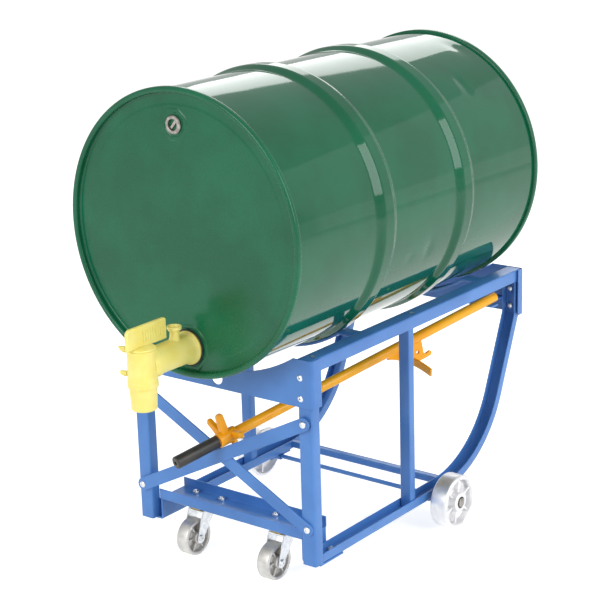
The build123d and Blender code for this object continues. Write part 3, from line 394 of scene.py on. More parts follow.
def domeBolt(seat, axis, grip, headR=7.5, headH=4.5, shankR=4.0, nutR=7.5, nutH=6.5, tail=2.5):
    # button head with a driver socket, then the shank and the hexagon nut behind the grip
    axis = unit(axis)
    bend = np.linspace(0.12, 1, 7)
    dome = np.stack([headH * np.cos(bend * pi / 2) ** 0.8, headR * np.sin(bend * pi / 2)], 1)
    socket = [(headH - 2.2, 0), (headH - 2.2, 1.9), (headH * 0.985, 2.0)]
    head = turnedSolid(np.array(socket + dome[1:].tolist() + [(0, headR), (0, 0)]), seat, axis, 28, 0.15)
    end = -grip - nutH - tail
    shank = turnedSolid([(0, 0), (0, shankR), (end, shankR), (end, 0)], seat, axis, 20, 0.7)
    across = unit(np.cross(axis, (0.0, 0.0, 1.0) if abs(axis[2]) < 0.8 else (0.0, 1.0, 0.0)))
    hexagon = rounded(circleLoop((0, 0), nutR, 6), 0.5, 3)
    nut = plate(hexagon, np.asarray(seat) - axis * (grip + nutH / 2), across, np.cross(axis, across), nutH, 0.9)
    return [head, shank, nut]


def spokes(middle, lean, section, inner, outer):
    # six ribs between the hub and the rim: middle + r * (0, cos t, sin t) for r from inner to outer
    ribs = []
    for angle in np.linspace(0, 2 * pi, 6, endpoint=False) + lean:
        out = np.array([0, cos(angle), sin(angle)])
        path = [middle + out * inner, middle + out * outer]
        ribs.append(swept(section, path, np.cross((1, 0, 0), out), (1, 0, 0)))
    return ribs


# drum: rolled shell with two hoops, heads with seamed rims
drum = {"axisZ": 748.043, "bodyR": 286, "rimR": 292, "hoopHeight": 9.5, "hoops": (289, 579), "crest": 13, "foot": 36,
        "length": 868, "rimHalf": 7, "rimDeep": 12, "wall": 1.5, "headAt": 6, "headStep": 0.6, "stepR": 258, "around": 220,
        # each knock: station, degrees up from +X, half length, half width, depth
        "knocks": ((396, -20.6, 14, 9, 1.0), (463, -19.3, 15, 20, 1.6), (819, 67.2, 22, 30, 2.0), (706, 46.8, 14, 24, 1.8)),
        # each pressed ring round a plug: x, z, inner and outer radius
        "pressed": ((-11.331, 964.246, 23, 36), (0, 516.043, 41, 52))}
drumMid = at(0, 0, drum["axisZ"])
# rings of points along the shell: 10 mm apart, 2 mm over the hoops and 4 mm over the knocks
along = [np.linspace(drum["rimHalf"], drum["length"] - drum["rimHalf"], 86)]
along += [np.arange(hoop - 38, hoop + 39, 2.0) for hoop in drum["hoops"]]
along += [np.arange(knock[0] - 26, knock[0] + 27, 4.0) for knock in drum["knocks"]]
along = np.unique(np.round(np.concatenate(along)))
slope = drum["foot"] - drum["crest"]
climb = sum(np.clip((drum["foot"] - np.abs(along - hoop)) / slope, 0, 1) for hoop in drum["hoops"])
outerR = drum["bodyR"] + drum["hoopHeight"] * climb**2 * (3 - 2 * climb)
shellLine = np.concatenate([np.stack([along, outerR], 1), np.stack([along, outerR - drum["wall"]], 1)[::-1]])
shell, shellFaces = turned(shellLine, drumMid, (0, 1, 0), drum["around"])
shell = shell - drumMid
reach, turn = np.hypot(shell[:, 0], shell[:, 2]), np.arctan2(shell[:, 2], shell[:, 0])
# knocks: the sheet is pushed in by depth * exp(-(station / long)^2 - (round / wide)^2)
for station, angle, long, wide, depth in drum["knocks"]:
    push = depth * np.exp(-((shell[:, 1] - station) / long) ** 2 - (reach * (turn - radians(angle)) / wide) ** 2)
    shell[:, [0, 2]] *= (1 - push / reach)[:, None]
addPiece("drumShell", [(shell + drumMid, shellFaces)], "drum", "drum_shell", "green_enamel")
for name, node, middle, inward in (("drumFrontHead", "drum_front_head", 0, 1),
                                   ("drumRearHead", "drum_rear_head", drum["length"], -1)):
    half, rimIn = drum["rimHalf"], drum["rimR"] - drum["rimDeep"]
    stepAt = drum["headAt"] + drum["headStep"]
    headLine = [(drum["headAt"], 0), (drum["headAt"], drum["stepR"] - 5), (stepAt, drum["stepR"]), (stepAt, rimIn),
                (-half, rimIn), (-half, drum["rimR"]), (half, drum["rimR"]), (half, rimIn - 1), (half + 1, rimIn - 1),
                (half + 1, 0)]
    headSoft = (0, 4, 4, 4, 5, 5, 4, 0.2, 0.2, 0)
    headParts = [turnedSolid(headLine, at(0, middle, drum["axisZ"]), (0, inward, 0), drum["around"], headSoft, 7)]
    if inward > 0:
        # a pressed eight sided ring round each plug
        for x, z, inner, outer in drum["pressed"]:
            ring = rounded([(6.4, inner), (4.9, inner + 3), (4.9, outer - 3), (6.4, outer)], (0, 1.5, 1.5, 0), 4)
            headParts.append(turned(ring, at(x, 0, z), (0, 1, 0), 8))
    addPiece(name, headParts, "drum", node, "green_enamel", headEnamel)

# vent plug: dull ring round a well, with a slanted key bar; a thin dark disc on the well floor is painted shade
vent = {"x": -11.331, "z": 964.246, "capR": 19, "capH": 6, "boreR": 11, "wellR": 10.9, "neckR": 12.9, "neckDeep": 21.5,
        "keyHalf": (10, 3), "keyU": (0.64, 0, 0.77), "keyV": (-0.77, 0, 0.64)}
ventAt = at(vent["x"], drum["headAt"], vent["z"])
cup = [(-1.5, 0), (-1.5, vent["boreR"]), (vent["capH"], vent["boreR"] + 0.6), (vent["capH"], vent["capR"] - 2),
       (vent["capH"] - 2.5, vent["capR"]), (0, vent["capR"]), (0, vent["neckR"]), (-vent["neckDeep"], vent["neckR"]),
       (-vent["neckDeep"], 0)]
# a thin dark disc laid on the well floor: painted shade in the well
wellShadeLine = [(-1.4, 0), (-1.4, vent["wellR"]), (-1.0, vent["wellR"]), (-1.0, 0)]
ventParts = [turnedSolid(cup, ventAt, (0, -1, 0), 48, 0.6), (*turnedSolid(wellShadeLine, ventAt, (0, -1, 0), 40, 0.1), 1),
             plate(boxLoop(*vent["keyHalf"], 1.2, 3), ventAt + (0, -0.8, 0), vent["keyU"], vent["keyV"], 4, 0.6)]
addPiece("ventPlug", ventParts, "drum", "vent_plug", "zinc_plate", dullZinc, darkSteelAndWellShade)
print("drum made")

# tap: gasket, barrel with its flange and bell, spout, air cap, and the paddle that turns the plug
tap = {"x": 0.0, "z": 516.043, "spoutAt": -133, "spoutR": 30.5, "nozzleTopR": 27.5, "nozzleR": 25.5, "boreR": 20,
       "top": 34, "step": -41, "bottom": -88, "capR": 29, "capH": 4, "paddleFrom": -174, "paddleLong": 111,
       "paddleTall": 43, "paddleThick": 8, "airAt": -36, "earTurn": 37, "ribs": 9, "ribFrom": 44, "ribPitch": 7.2,
       # each ear on the spout: its height and its outline
       "ears": ((35, [(-0.7, -7), (8, -4), (14, 4), (13, 7), (-0.7, 6)]),
                (-13, [(-0.7, -7), (8, -5), (14, 1), (12, 5), (-0.7, 4)]))}
barrelMid = at(tap["x"], 0, tap["z"])
gasket = turned(ringLine(-3, -6, 28.8, 38, 1.2, 5), barrelMid, (0, -1, 0), 96)
addPiece("tapGasket", [gasket], "drum", "tap_gasket", "black_rubber", gasketRubber)
barrelLine = [(-3, 20), (-3, 35), (0.5, 35), (3, 32.9), (8, 30.4), (14, 29.2), (96, 28.6), (99, 31.5), (126, 31.5),
              (126, 29), (130, 28), (130, 20)]
tailLine = [(-3, 20), (-3, 28.4), (-32, 28.4), (-32, 20)]
spoutLine = [(tap["top"], 24.1), (tap["top"], tap["spoutR"] - 1.2), (tap["top"] - 4, tap["spoutR"] - 1.0),
             (tap["top"] - 5, tap["spoutR"] - 1.9), (tap["step"] + 12, tap["spoutR"] - 0.6),
             (tap["step"] + 11, tap["spoutR"]), (tap["step"], tap["spoutR"]), (tap["step"] - 1.5, tap["nozzleTopR"]),
             (tap["bottom"] + 2, tap["nozzleR"]), (tap["bottom"], tap["nozzleR"] - 1.5), (tap["bottom"], tap["boreR"]),
             (-31, tap["boreR"]), (-31, 24.1)]
spoutMid = at(tap["x"], tap["spoutAt"], tap["z"])
tapParts = [turned(rounded(barrelLine, 1.0, 4), barrelMid, (0, -1, 0), 96), turned(tailLine, barrelMid, (0, -1, 0), 96),
            turned(rounded(spoutLine, 0.7, 4), spoutMid, (0, 0, 1), 96)]
earWay = np.array([-cos(radians(tap["earTurn"])), -sin(radians(tap["earTurn"])), 0])
for lift, ear in tap["ears"]:
    ear = rounded(ear, (0.4, 2.5, 2.5, 1.5, 0.4), 5)
    tapParts.append(plate(ear, spoutMid + earWay * tap["spoutR"] + (0, 0, lift), earWay, (0, 0, 1), 6, 1.2))
addPiece("tapBody", tapParts, "drum", "tap_body", "yellow_plastic")
neckLine = [(26, 0), (26, 12.5), (33, 10.2), (43, 9.2), (48.5, 13.6), (50.5, 15), (55.4, 15), (55.4, 12.2), (48.5, 10.5),
            (48.5, 0)]
airCap = turnedSolid(neckLine, at(tap["x"], tap["airAt"], tap["z"]), (0, 0, 1), 48, 0.8)
addPiece("tapAirCap", [airCap], "drum", "tap_air_cap", "yellow_plastic")
paddleFoot = tap["top"] + 0.3
paddleLine = rounded([(0, 0), (tap["paddleLong"], 0), (tap["paddleLong"], tap["paddleTall"]), (0, tap["paddleTall"])],
                     (1.5, 1.5, 5, 11), 8)
paddleAt = at(tap["x"], tap["paddleFrom"], tap["z"] + paddleFoot + tap["capH"])
handleParts = [plate(paddleLine, paddleAt, (0, 1, 0), (0, 0, 1), tap["paddleThick"], 1.4)]
ribLine = rounded([(-0.9, 0), (0.9, 0), (0.9, 26), (-0.9, 26)], 0.7, 3)
for rib in range(tap["ribs"]):
    for face in (-1, 1):
        ribAt = paddleAt + (face * (tap["paddleThick"] / 2), tap["ribFrom"] + rib * tap["ribPitch"], 8)
        handleParts.append(plate(ribLine, ribAt, (0, 1, 0), (0, 0, 1), 2.4, 0.6))
capLine = [(-64.5, 0), (-64.5, 23.9), (0, 23.9), (0, tap["capR"]), (tap["capH"], tap["capR"] - 0.8), (tap["capH"] + 2, 12),
           (tap["capH"] + 2, 0)]
handleParts.append(turnedSolid(capLine, spoutMid + (0, 0, paddleFoot), (0, 0, 1), 72, 0.9))
addPiece("tapHandle", handleParts, "tap_valve", "tap_handle", "yellow_plastic")
print("tap made")

# frame channels: folded steel, each a rounded section carried along its line
steel = {"thick": 2.5, "railIn": 206, "railOut": 240.5, "railTop": 505, "railDrop": 27, "channelIn": 204,
         "channelOut": 238, "channelDeep": 21, "legAt": 90, "legDeep": 25, "tailAt": 887, "low": 65, "bend": 4}
channelMid = (steel["channelIn"] + steel["channelOut"]) / 2
channelHalf = (steel["channelOut"] - steel["channelIn"]) / 2


def channelSection(half, deep, thick, bend):
    # U outline, web at v = 0 and flanges up to v = deep: outer bends wide, inner bends tight, lips softened
    corners = [(-half, 0), (half, 0), (half, deep), (half - thick, deep), (half - thick, thick), (thick - half, thick),
               (thick - half, deep), (-half, deep)]
    return rounded(corners, (bend, bend, 0.8, 0.8, bend - thick, bend - thick, 0.8, 0.8), 6)


for side, word in both:
    railWide, toChannel = steel["railOut"] - steel["railIn"], steel["channelOut"] - steel["railIn"]
    corners = [(0, 0), (railWide, 0), (railWide, -steel["railDrop"]), (toChannel, -steel["railDrop"]),
               (toChannel, -steel["thick"]), (0, -steel["thick"])]
    section = rounded(corners, (0.8, steel["bend"], 0.8, 0.8, 1.5, 0.8), 6)
    path = [at(side * steel["railIn"], y, steel["railTop"]) for y in (steel["legAt"], steel["tailAt"])]
    addFramePiece(f"{word}TopRail", [swept(section, path, (side, 0, 0), (0, 0, 1))], f"{word}_top_rail")
    section = channelSection(channelHalf, steel["legDeep"], steel["thick"], steel["bend"])
    path = [at(side * channelMid, steel["legAt"], z) for z in (steel["low"], steel["railTop"] - steel["thick"])]
    addFramePiece(f"{word}FrontLeg", [swept(section, path, (1, 0, 0), (0, 1, 0))], f"{word}_front_leg")

# runners: straight along the floor, a wide bend, a lean, and a tight bend to upright
runner = {"from": 115, "bendAt": 571, "bendR": 261, "lean": 23.6, "toeR": 40, "top": 502.5}
post = {"at": 447, "halfX": 13.25, "halfY": 10, "low": 67.5, "high": 502.5}
turn = radians(90 - runner["lean"])
sweepAngle = np.linspace(0, turn, 40)
wide = np.stack([runner["bendAt"] + runner["bendR"] * np.sin(sweepAngle),
                 steel["low"] + runner["bendR"] * (1 - np.cos(sweepAngle))], 1)
toeY = steel["tailAt"] - runner["toeR"] * (1 - sin(turn))
toeZ = wide[-1, 1] + (toeY - wide[-1, 0]) * tan(turn)
toeAngle = np.linspace(turn, pi / 2, 14)
toe = np.stack([steel["tailAt"] - runner["toeR"] * (1 - np.sin(toeAngle)),
                toeZ + runner["toeR"] * (cos(turn) - np.cos(toeAngle))], 1)
lineAngle = np.concatenate([[0], sweepAngle, toeAngle, [pi / 2]])
lineYz = np.concatenate([[(runner["from"], steel["low"])], wide, toe, [(steel["tailAt"], runner["top"])]])
inwardYz = np.stack([np.zeros(len(lineAngle)), -np.sin(lineAngle), np.cos(lineAngle)], 1)
for side, word in both:
    path = np.stack([np.full(len(lineYz), side * channelMid), lineYz[:, 0] + rimY, lineYz[:, 1]], 1)
    section = channelSection(channelHalf, steel["channelDeep"], steel["thick"], steel["bend"])
    addFramePiece(f"{word}Runner", [swept(section, path, (1, 0, 0), inwardYz)], f"{word}_runner")
    section = boxLoop(post["halfX"], post["halfY"], 2.5, 6)
    path = [at(side * channelMid, post["at"], z) for z in (post["low"], post["high"])]
    addFramePiece(f"{word}MidPost", [swept(section, path, (1, 0, 0), (0, 1, 0))], f"{word}_mid_post")
print("channels made")


# plates bent from a flat blank
def bentBlank(name, outline, bends, toPlace, thick, node):
    # a flat outline in (u, v) is cut across each bend, wrapped round the bends, then given its thickness
    mesh = bpy.data.meshes.new(name)
    mesh.from_pydata(np.insert(outline, 2, 0, axis=1).tolist(), [], [range(len(outline))])
    work = bmesh.new()
    work.from_mesh(mesh)
    for start, end in bends:
        for u in np.linspace(start, end, 7):
            bmesh.ops.bisect_plane(work, geom=work.verts[:] + work.edges[:] + work.faces[:], plane_co=(u, 0, 0),
                                   plane_no=(1, 0, 0), dist=1e-5)
    work.to_mesh(mesh)
    work.free()
    flat = np.empty(len(mesh.vertices) * 3)
    mesh.vertices.foreach_get("co", flat)
    mesh.vertices.foreach_set("co", (toPlace(flat[::3], flat[1::3]) * mm).ravel())
    mesh.update()
    piece = bpy.data.objects.new(name, mesh)
    bpy.context.scene.collection.objects.link(piece)
    mesh.materials.append(blueEnamel)
    wall = piece.modifiers.new("wall", "SOLIDIFY")
    wall.thickness, wall.offset, wall.use_even_offset = thick * mm, -1, True
    soft = piece.modifiers.new("softEdges", "BEVEL")
    soft.width, soft.segments, soft.limit_method, soft.angle_limit = 0.6 * mm, 2, "ANGLE", radians(50)
    soft.harden_normals = True
    mesh.polygons.foreach_set("use_smooth", [True] * len(mesh.polygons))
    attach(piece, "frame")
    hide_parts(node)


def wrapU(u, halfFlat, bendR, turnSide):
    # distance along the blank to (across, back): flat, then an arc, then straight back along the flange
    reach = np.abs(u)
    angle = np.clip((reach - halfFlat) / bendR, 0, pi / 2)
    past = np.maximum(reach - halfFlat - bendR * pi / 2, 0)
    across = np.minimum(reach, halfFlat) + bendR * np.sin(angle)
    back = bendR * (1 - np.cos(angle)) + past
    return np.sign(u) * across, turnSide * back


saddle = {"half": 243, "bendR": 4, "frontFace": 87.5, "rearFace": 889.5, "low": 406, "top": 506, "arcR": 368,
          "arcZ": 816.04, "reliefR": 14.5, "reliefZ": 428.5, "rearLow": 397.5, "rearTop": 505.5, "lipR": 292.3,
          "lipFrom": 862, "lipTo": 887, "lipHalf": 1.25, "flange": 27.5, "rearFlange": 20.5}
flatHalf = saddle["half"] - saddle["bendR"]
blankHalf = flatHalf + saddle["bendR"] * pi / 2 + saddle["flange"] - saddle["bendR"]
arcEnd = sqrt(saddle["arcR"] ** 2 - (saddle["arcZ"] - saddle["top"]) ** 2)
arcX = np.linspace(arcEnd, saddle["reliefR"], 40)
arcZ = saddle["arcZ"] - np.sqrt(saddle["arcR"] ** 2 - arcX**2)
dip = np.linspace(0, pi, 17)
dipX, dipZ = saddle["reliefR"] * np.cos(dip), saddle["reliefZ"] - saddle["reliefR"] * np.sin(dip)
rightEdge = np.stack([arcX, arcZ], 1)
outline = np.concatenate([[(-blankHalf, saddle["low"]), (blankHalf, saddle["low"]), (blankHalf, saddle["top"])], rightEdge,
                          np.stack([dipX, dipZ], 1), (rightEdge * (-1, 1))[::-1], [(-blankHalf, saddle["top"])]])


def placeFront(u, v):
    # face at one station, flanges turned back; v is the height
    x, back = wrapU(u, flatHalf, saddle["bendR"], 1)
    return np.stack([x, saddle["frontFace"] + back + rimY, v], 1)


bends = [(-flatHalf - saddle["bendR"] * pi / 2, -flatHalf), (flatHalf, flatHalf + saddle["bendR"] * pi / 2)]
bentBlank("frontSaddlePlate", outline, bends, placeFront, -steel["thick"], "front_saddle_plate")

blankHalf = flatHalf + saddle["bendR"] * pi / 2 + saddle["rearFlange"] - saddle["bendR"]
cutEnd = sqrt(saddle["lipR"] ** 2 - (drum["axisZ"] - saddle["rearTop"]) ** 2)
cutX = np.linspace(cutEnd, -cutEnd, 80)
cutZ = drum["axisZ"] - np.sqrt(saddle["lipR"] ** 2 - cutX**2)
outline = np.concatenate([[(-blankHalf, saddle["rearLow"]), (blankHalf, saddle["rearLow"]), (blankHalf, saddle["rearTop"])],
                          np.stack([cutX, cutZ], 1), [(-blankHalf, saddle["rearTop"])]])


def placeRear(u, v):
    # the same with the flanges turned forward
    x, back = wrapU(u, flatHalf, saddle["bendR"], -1)
    return np.stack([x, saddle["rearFace"] + back + rimY, v], 1)


bentBlank("rearSaddlePlate", outline, bends, placeRear, steel["thick"], "rear_saddle_plate")
lipAngle = np.arcsin(np.linspace(-cutEnd, cutEnd, 72) / saddle["lipR"])
lipUp = np.stack([np.sin(lipAngle), np.zeros(72), -np.cos(lipAngle)], 1)
lipPath = at(0, (saddle["lipFrom"] + saddle["lipTo"]) / 2, drum["axisZ"]) + lipUp * (saddle["lipR"] + saddle["lipHalf"])
lipSection = boxLoop((saddle["lipTo"] - saddle["lipFrom"]) / 2, saddle["lipHalf"], 0.9, 4)
addFramePiece("rearLip", [swept(lipSection, lipPath, (0, 1, 0), lipUp)], "rear_saddle_plate")

# cradle straps: flat bar bent round the hoops, tails flat under the rails
strap = {"r": 295.8, "thick": 6, "wide": 32, "stations": (295, 767), "tailZ": 499.5, "tailX": 238}
strapMid = strap["r"] + strap["thick"] / 2
tailStart = sqrt(strapMid**2 - (drum["axisZ"] - strap["tailZ"]) ** 2)
bow = np.arcsin(np.linspace(-tailStart, tailStart, 81) / strapMid)
bowXz = np.stack([strapMid * np.sin(bow), drum["axisZ"] - strapMid * np.cos(bow)], 1)
lineXz = np.concatenate([[(-strap["tailX"], strap["tailZ"])], bowXz, [(strap["tailX"], strap["tailZ"])]])
lineXz = rounded(lineXz, np.where(np.isin(np.arange(83), (1, 81)), 3.0, 0), 5, closed=False)
strapUp = np.insert(leftOf(lineXz), 1, 0, axis=1)
for station, word in zip(strap["stations"], ("front", "rear")):
    path = np.stack([lineXz[:, 0], np.full(len(lineXz), station + rimY), lineXz[:, 1]], 1)
    section = boxLoop(strap["wide"] / 2, strap["thick"] / 2, 1.2, 4)
    addFramePiece(f"{word}CradleStrap", [swept(section, path, (0, 1, 0), strapUp)], f"{word}_cradle_strap")

# brace: two round-ended flat bars on spacers and bolts
brace = {"low": 145, "high": 372, "wide": 28, "thick": 4, "front": 82}
braceMid = (brace["low"] + brace["high"]) / 2
braceDir = unit((2 * channelMid, brace["high"] - brace["low"]))
braceHalf = sqrt(channelMid**2 + (brace["high"] - braceMid) ** 2)
cap = np.linspace(-pi / 2, pi / 2, 16)
capEnd = np.stack([braceHalf + brace["wide"] / 2 * np.cos(cap), brace["wide"] / 2 * np.sin(cap)], 1)
barLine = np.concatenate([capEnd, -capEnd])
behind = brace["front"] + brace["thick"]
for slope, front, word in ((1, brace["front"], "rising"), (-1, behind, "falling")):
    u = (braceDir[0], 0, slope * braceDir[1])
    v = (-slope * braceDir[1], 0, braceDir[0])
    barAt = at(0, front + brace["thick"] / 2, braceMid)
    addFramePiece(f"{word}BraceBar", [plate(barLine, barAt, u, v, brace["thick"], 0.8)], f"{word}_brace_bar")
spacers, braceBolts = [], []
for side, _ in both:
    for z in (brace["low"], brace["high"]):
        inFront = (z - braceMid) * side > 0
        head = brace["front"] if inFront else behind
        braceBolts += domeBolt(at(side * channelMid, head, z), (0, -1, 0), steel["legAt"] - head + steel["thick"])
        if inFront:
            washer = ringLine(0.1, 3.9, 4.4, 11.4, 0.5, 3)
            spacers.append(turned(washer, at(side * channelMid, behind, z), (0, 1, 0), 32))
addPlated("braceSpacers", spacers, "frame", "brace_spacers")
addPlated("braceBolts", braceBolts, "frame", "brace_bolts")
bolts = {"saddleX": 214.5, "front": (87.5, (467.5, 424)), "rear": (884.5, (455, 413)), "grip": 5, "railX": 223.25,
         "railAt": (118, 466), "railNutZ": 499.25}
saddleBolts, railBolts = [], []
for side, _ in both:
    for station, heights in (bolts["front"], bolts["rear"]):
        for z in heights:
            saddleBolts += domeBolt(at(side * bolts["saddleX"], station, z), (0, -1, 0), bolts["grip"])
    for station in bolts["railAt"]:
        sunk = [(-1.2, 0), (-1.2, 1.8), (0.5, 2.0), (0.3, 4.5), (0, 6), (-2.5, 3.6), (-2.5, 3), (-11.5, 3), (-11.5, 0)]
        railBolts.append(turnedSolid(sunk, at(side * bolts["railX"], station, steel["railTop"]), (0, 0, 1), 28, 0.2))
        hexagon = rounded(circleLoop((0, 0), 6, 6), 0.5, 3)
        nutAt = at(side * bolts["railX"], station, bolts["railNutZ"])
        railBolts.append(plate(hexagon, nutAt, (1, 0, 0), (0, 1, 0), 6.4, 0.8))
addPlated("saddleBolts", saddleBolts, "frame", "saddle_bolts")
addPlated("railBolts", railBolts, "frame", "rail_bolts")
print("plates and bars made")

# caster tray, its cleats, cross bar
tray = {"mid": 145.5, "wide": 82, "low": 108.5, "lip": 24.5, "half": 194, "cleat": 4, "cleatLong": 77, "boltX": 216.5,
        "boltGap": 25, "grip": 6.5}
crossBar = {"at": 590, "half": 8, "z": 78}
section = channelSection(tray["wide"] / 2, tray["lip"], steel["thick"], steel["bend"])
path = [at(x, tray["mid"], tray["low"]) for x in (-tray["half"], tray["half"])]
addFramePiece("casterTray", [swept(section, path, (0, 1, 0), (0, 0, 1))], "caster_tray")
cleatBolts, hookZ, cleatIn = [], steel["low"] - tray["cleat"], tray["half"] - tray["cleat"]
for side, word in both:
    corners = [(cleatIn, tray["low"]), (cleatIn, hookZ), (steel["channelOut"], hookZ), (steel["channelOut"], steel["low"]),
               (tray["half"], steel["low"]), (tray["half"], tray["low"])]
    section = rounded(corners, (0.8, 5, 0.8, 0.8, 1.2, 0.8), 5)
    path = [at(0, tray["mid"] + end * tray["cleatLong"] / 2, 0) for end in (-1, 1)]
    addFramePiece(f"{word}TrayCleat", [swept(section, path, (side, 0, 0), (0, 0, 1))], f"{word}_tray_cleat")
    for dy in (-tray["boltGap"], tray["boltGap"]):
        cleatBolts += domeBolt(at(side * tray["boltX"], tray["mid"] + dy, hookZ), (0, 0, -1), tray["grip"])
addPlated("cleatBolts", cleatBolts, "frame", "cleat_bolts")
section = boxLoop(crossBar["half"], crossBar["half"], 1.6, 5)
path = [at(x, crossBar["at"], crossBar["z"]) for x in (-steel["channelIn"], steel["channelIn"])]
addFramePiece("rearCrossBar", [swept(section, path, (0, 1, 0), (0, 0, 1))], "rear_cross_bar")

# casters
caster = {"x": 110, "trail": 32, "padX": 96, "padY": 68, "padLow": 106, "padThick": 2.5, "boltX": 36, "boltY": 22.25,
          "crownLow": 93, "crownX": 43, "crownThick": 4, "axleZ": 40, "legIn": 18.5, "legThick": 3, "boss": 12, "half": 24,
          "balls": 14, "ballR": 3.45, "raceR": 17, "raceZ": 102.45,
          # half of the wheel from its bore to the middle of the tread, and how soft each corner is
          "wheel": ((-18, 5.05), (-18, 14), (-5, 15), (-5, 30), (-14, 32), (-16, 35), (-16, 40)),
          "wheelSoft": (0.4, 2, 3, 3, 2, 2, 5)}
wheelLine = np.concatenate([caster["wheel"], (np.array(caster["wheel"]) * (-1, 1))[::-1]])
wheelLine = rounded(wheelLine, caster["wheelSoft"] + caster["wheelSoft"][::-1], 6)
casterBolts = []
for side, word in both:
    x = side * caster["x"]
    pinAt = at(x, tray["mid"], 0)
    pad = boxLoop(caster["padX"] / 2, caster["padY"] / 2, 5, 6)
    padAt = pinAt + (0, 0, caster["padLow"] + caster["padThick"] / 2)
    skirt = rounded([(97.7, 21), (97.7, 25), (106, 25), (106, 21)], (0.6, 2.0, 0.2, 0.2), 4)
    padParts = [plate(pad, padAt, (1, 0, 0), (0, 1, 0), caster["padThick"], 0.7), (*turned(skirt, pinAt, (0, 0, 1), 64), 1)]
    addPiece(f"{word}CasterPad", padParts, "frame", f"{word}_caster_pad", "zinc_plate", brightZinc, yellowZinc)
    pin = [(88.7, 0), (88.7, 9), (90.5, 11), (92.7, 11), (92.7, 6.9), (108.3, 6.9), (108.3, 0)]
    addPlated(f"{word}Kingpin", [turnedSolid(pin, pinAt, (0, 0, 1), 40, 0.5)], "frame", f"{word}_kingpin")
    for dx in (-caster["boltX"], caster["boltX"]):
        for dy in (-caster["boltY"], caster["boltY"]):
            casterBolts += domeBolt(pinAt + (dx, dy, caster["padLow"]), (0, 0, -1), 5)
    ballArc = np.linspace(0, pi, 9)
    ball = np.stack([-np.cos(ballArc), np.sin(ballArc)], 1) * caster["ballR"]
    balls = [turnedSolid(ball, pinAt + (*spot, caster["raceZ"]), (0, 0, 1), 12, 0)
             for spot in circleLoop((0, 0), caster["raceR"], caster["balls"])]
    addPlated(f"{word}SwivelBalls", balls, f"{word}_caster", f"{word}_swivel_balls")
    # fork: crown plate with a pressed race, and two slanted legs
    wheelAt = at(x, tray["mid"] - caster["trail"], caster["axleZ"])
    crown = boxLoop(caster["crownX"] / 2, caster["half"], 3, 5)
    crownZ = caster["crownLow"] + caster["crownThick"] / 2
    pinHole = circleLoop((0, 0), 7.1)
    forkParts = [plate(crown, pinAt + (0, 0, crownZ), (1, 0, 0), (0, 1, 0), caster["crownThick"], 1.2, [pinHole]),
                 turned(ringLine(96.9, 98.8, 13, 21, 0.6, 3), pinAt, (0, 0, 1), 56)]
    tip = np.linspace(pi + 0.42, 2 * pi + 0.12, 18)
    leg = np.concatenate([[(caster["half"], crownZ), (-caster["half"], crownZ)],
                          np.stack([-caster["trail"] + caster["boss"] * np.cos(tip),
                                    caster["axleZ"] + caster["boss"] * np.sin(tip)], 1)])
    for face in (-1, 1):
        legAt = pinAt + (face * (caster["legIn"] + caster["legThick"] / 2), 0, 0)
        forkParts.append(plate(leg, legAt, (0, 1, 0), (0, 0, 1), caster["legThick"], 0.9))
    addPlated(f"{word}CasterFork", forkParts, f"{word}_caster", f"{word}_caster_fork")
    axle = domeBolt(wheelAt + (caster["crownX"] / 2, 0, 0), (1, 0, 0), caster["crownX"], shankR=4.9)
    addPlated(f"{word}CasterAxle", axle, f"{word}_caster", f"{word}_caster_axle")
    wheelParts = [turned(wheelLine, wheelAt, (1, 0, 0), 96)] + spokes(wheelAt, 0, boxLoop(2.2, 12, 1.8, 4), 12.5, 32.5)
    # the caster wheels take the darker copy of the alloy, which is painted shade
    addPiece(f"{word}CasterWheel", wheelParts, f"{word}_caster_roller", f"{word}_caster_wheel", "grey_cast_wheel",
             shadedCasterAlloy)
addPlated("casterBolts", casterBolts, "frame", "caster_bolts")
print("casters made")

# rear axle, clips, spacers, push nuts, wheels and bearings
rear = {"at": 544, "r": 60, "mid": 272.5, "hubIn": 246.5, "hubOut": 296, "bearingR": 12.95, "axleR": 5, "axleHalf": 295,
        "endTo": 299.5, "spacerFrom": 238.3, "spacerTo": 246.2, "spacerR": 10, "clipHalf": (15, 1.95), "clipR": 7.05,
        # the wheel from its bore out over hub, web and rim, and the same back, with how soft each corner is
        "wheel": ((23.5, 13), (23.5, 20), (22, 22), (4, 24), (4, 46), (15, 49), (21, 52), (21, 60), (-21, 60), (-21, 52),
                  (-15, 49), (-4, 46), (-4, 24), (-25, 22), (-26, 20), (-26, 13)),
        "wheelSoft": (0.4, 1, 1, 4, 5, 3, 2.5, 6, 6, 2.5, 3, 5, 4, 1, 1, 0.4)}
axleMid = at(0, rear["at"], rear["r"])
axleR, axleEnd = rear["axleR"], rear["axleHalf"]
axleParts = [turnedSolid([(-axleEnd, 0), (-axleEnd, axleR), (axleEnd, axleR), (axleEnd, 0)], axleMid, (1, 0, 0), 32, 0.2)]
for side, _ in both:
    tip = np.array([(axleEnd - 1, 0), (axleEnd - 1, axleR - 0.02), (rear["endTo"], axleR - 0.02), (rear["endTo"], 0)])
    axleParts.append((*turnedSolid(tip * (side, 1), axleMid, (1, 0, 0), 32, 0.8), 1))
addPiece("rearAxle", axleParts, "frame", "rear_axle", "blue_enamel", blueEnamel, dullZinc)
clipParts, spacerParts, capParts = [], [], []
under = np.linspace(pi, 2 * pi, 21)
cradle = np.stack([np.cos(under), np.sin(under)], 1) * rear["clipR"] + (0, rear["r"])
clipLine = np.concatenate([[(-35, 63), (-11, 63)], cradle, [(11, 63), (35, 63)]])
atFoot = np.isin(np.arange(len(clipLine)), (1, len(clipLine) - 2))
clipLine = rounded(clipLine, np.where(atFoot, 2, 0), 4, closed=False)
clipUp = np.insert(leftOf(clipLine), 0, 0, axis=1)
clipSection = boxLoop(*rear["clipHalf"], 1.0, 4)
spacerLine = ringLine(rear["spacerFrom"], rear["spacerTo"], axleR + 0.05, rear["spacerR"], 0.6, 3)
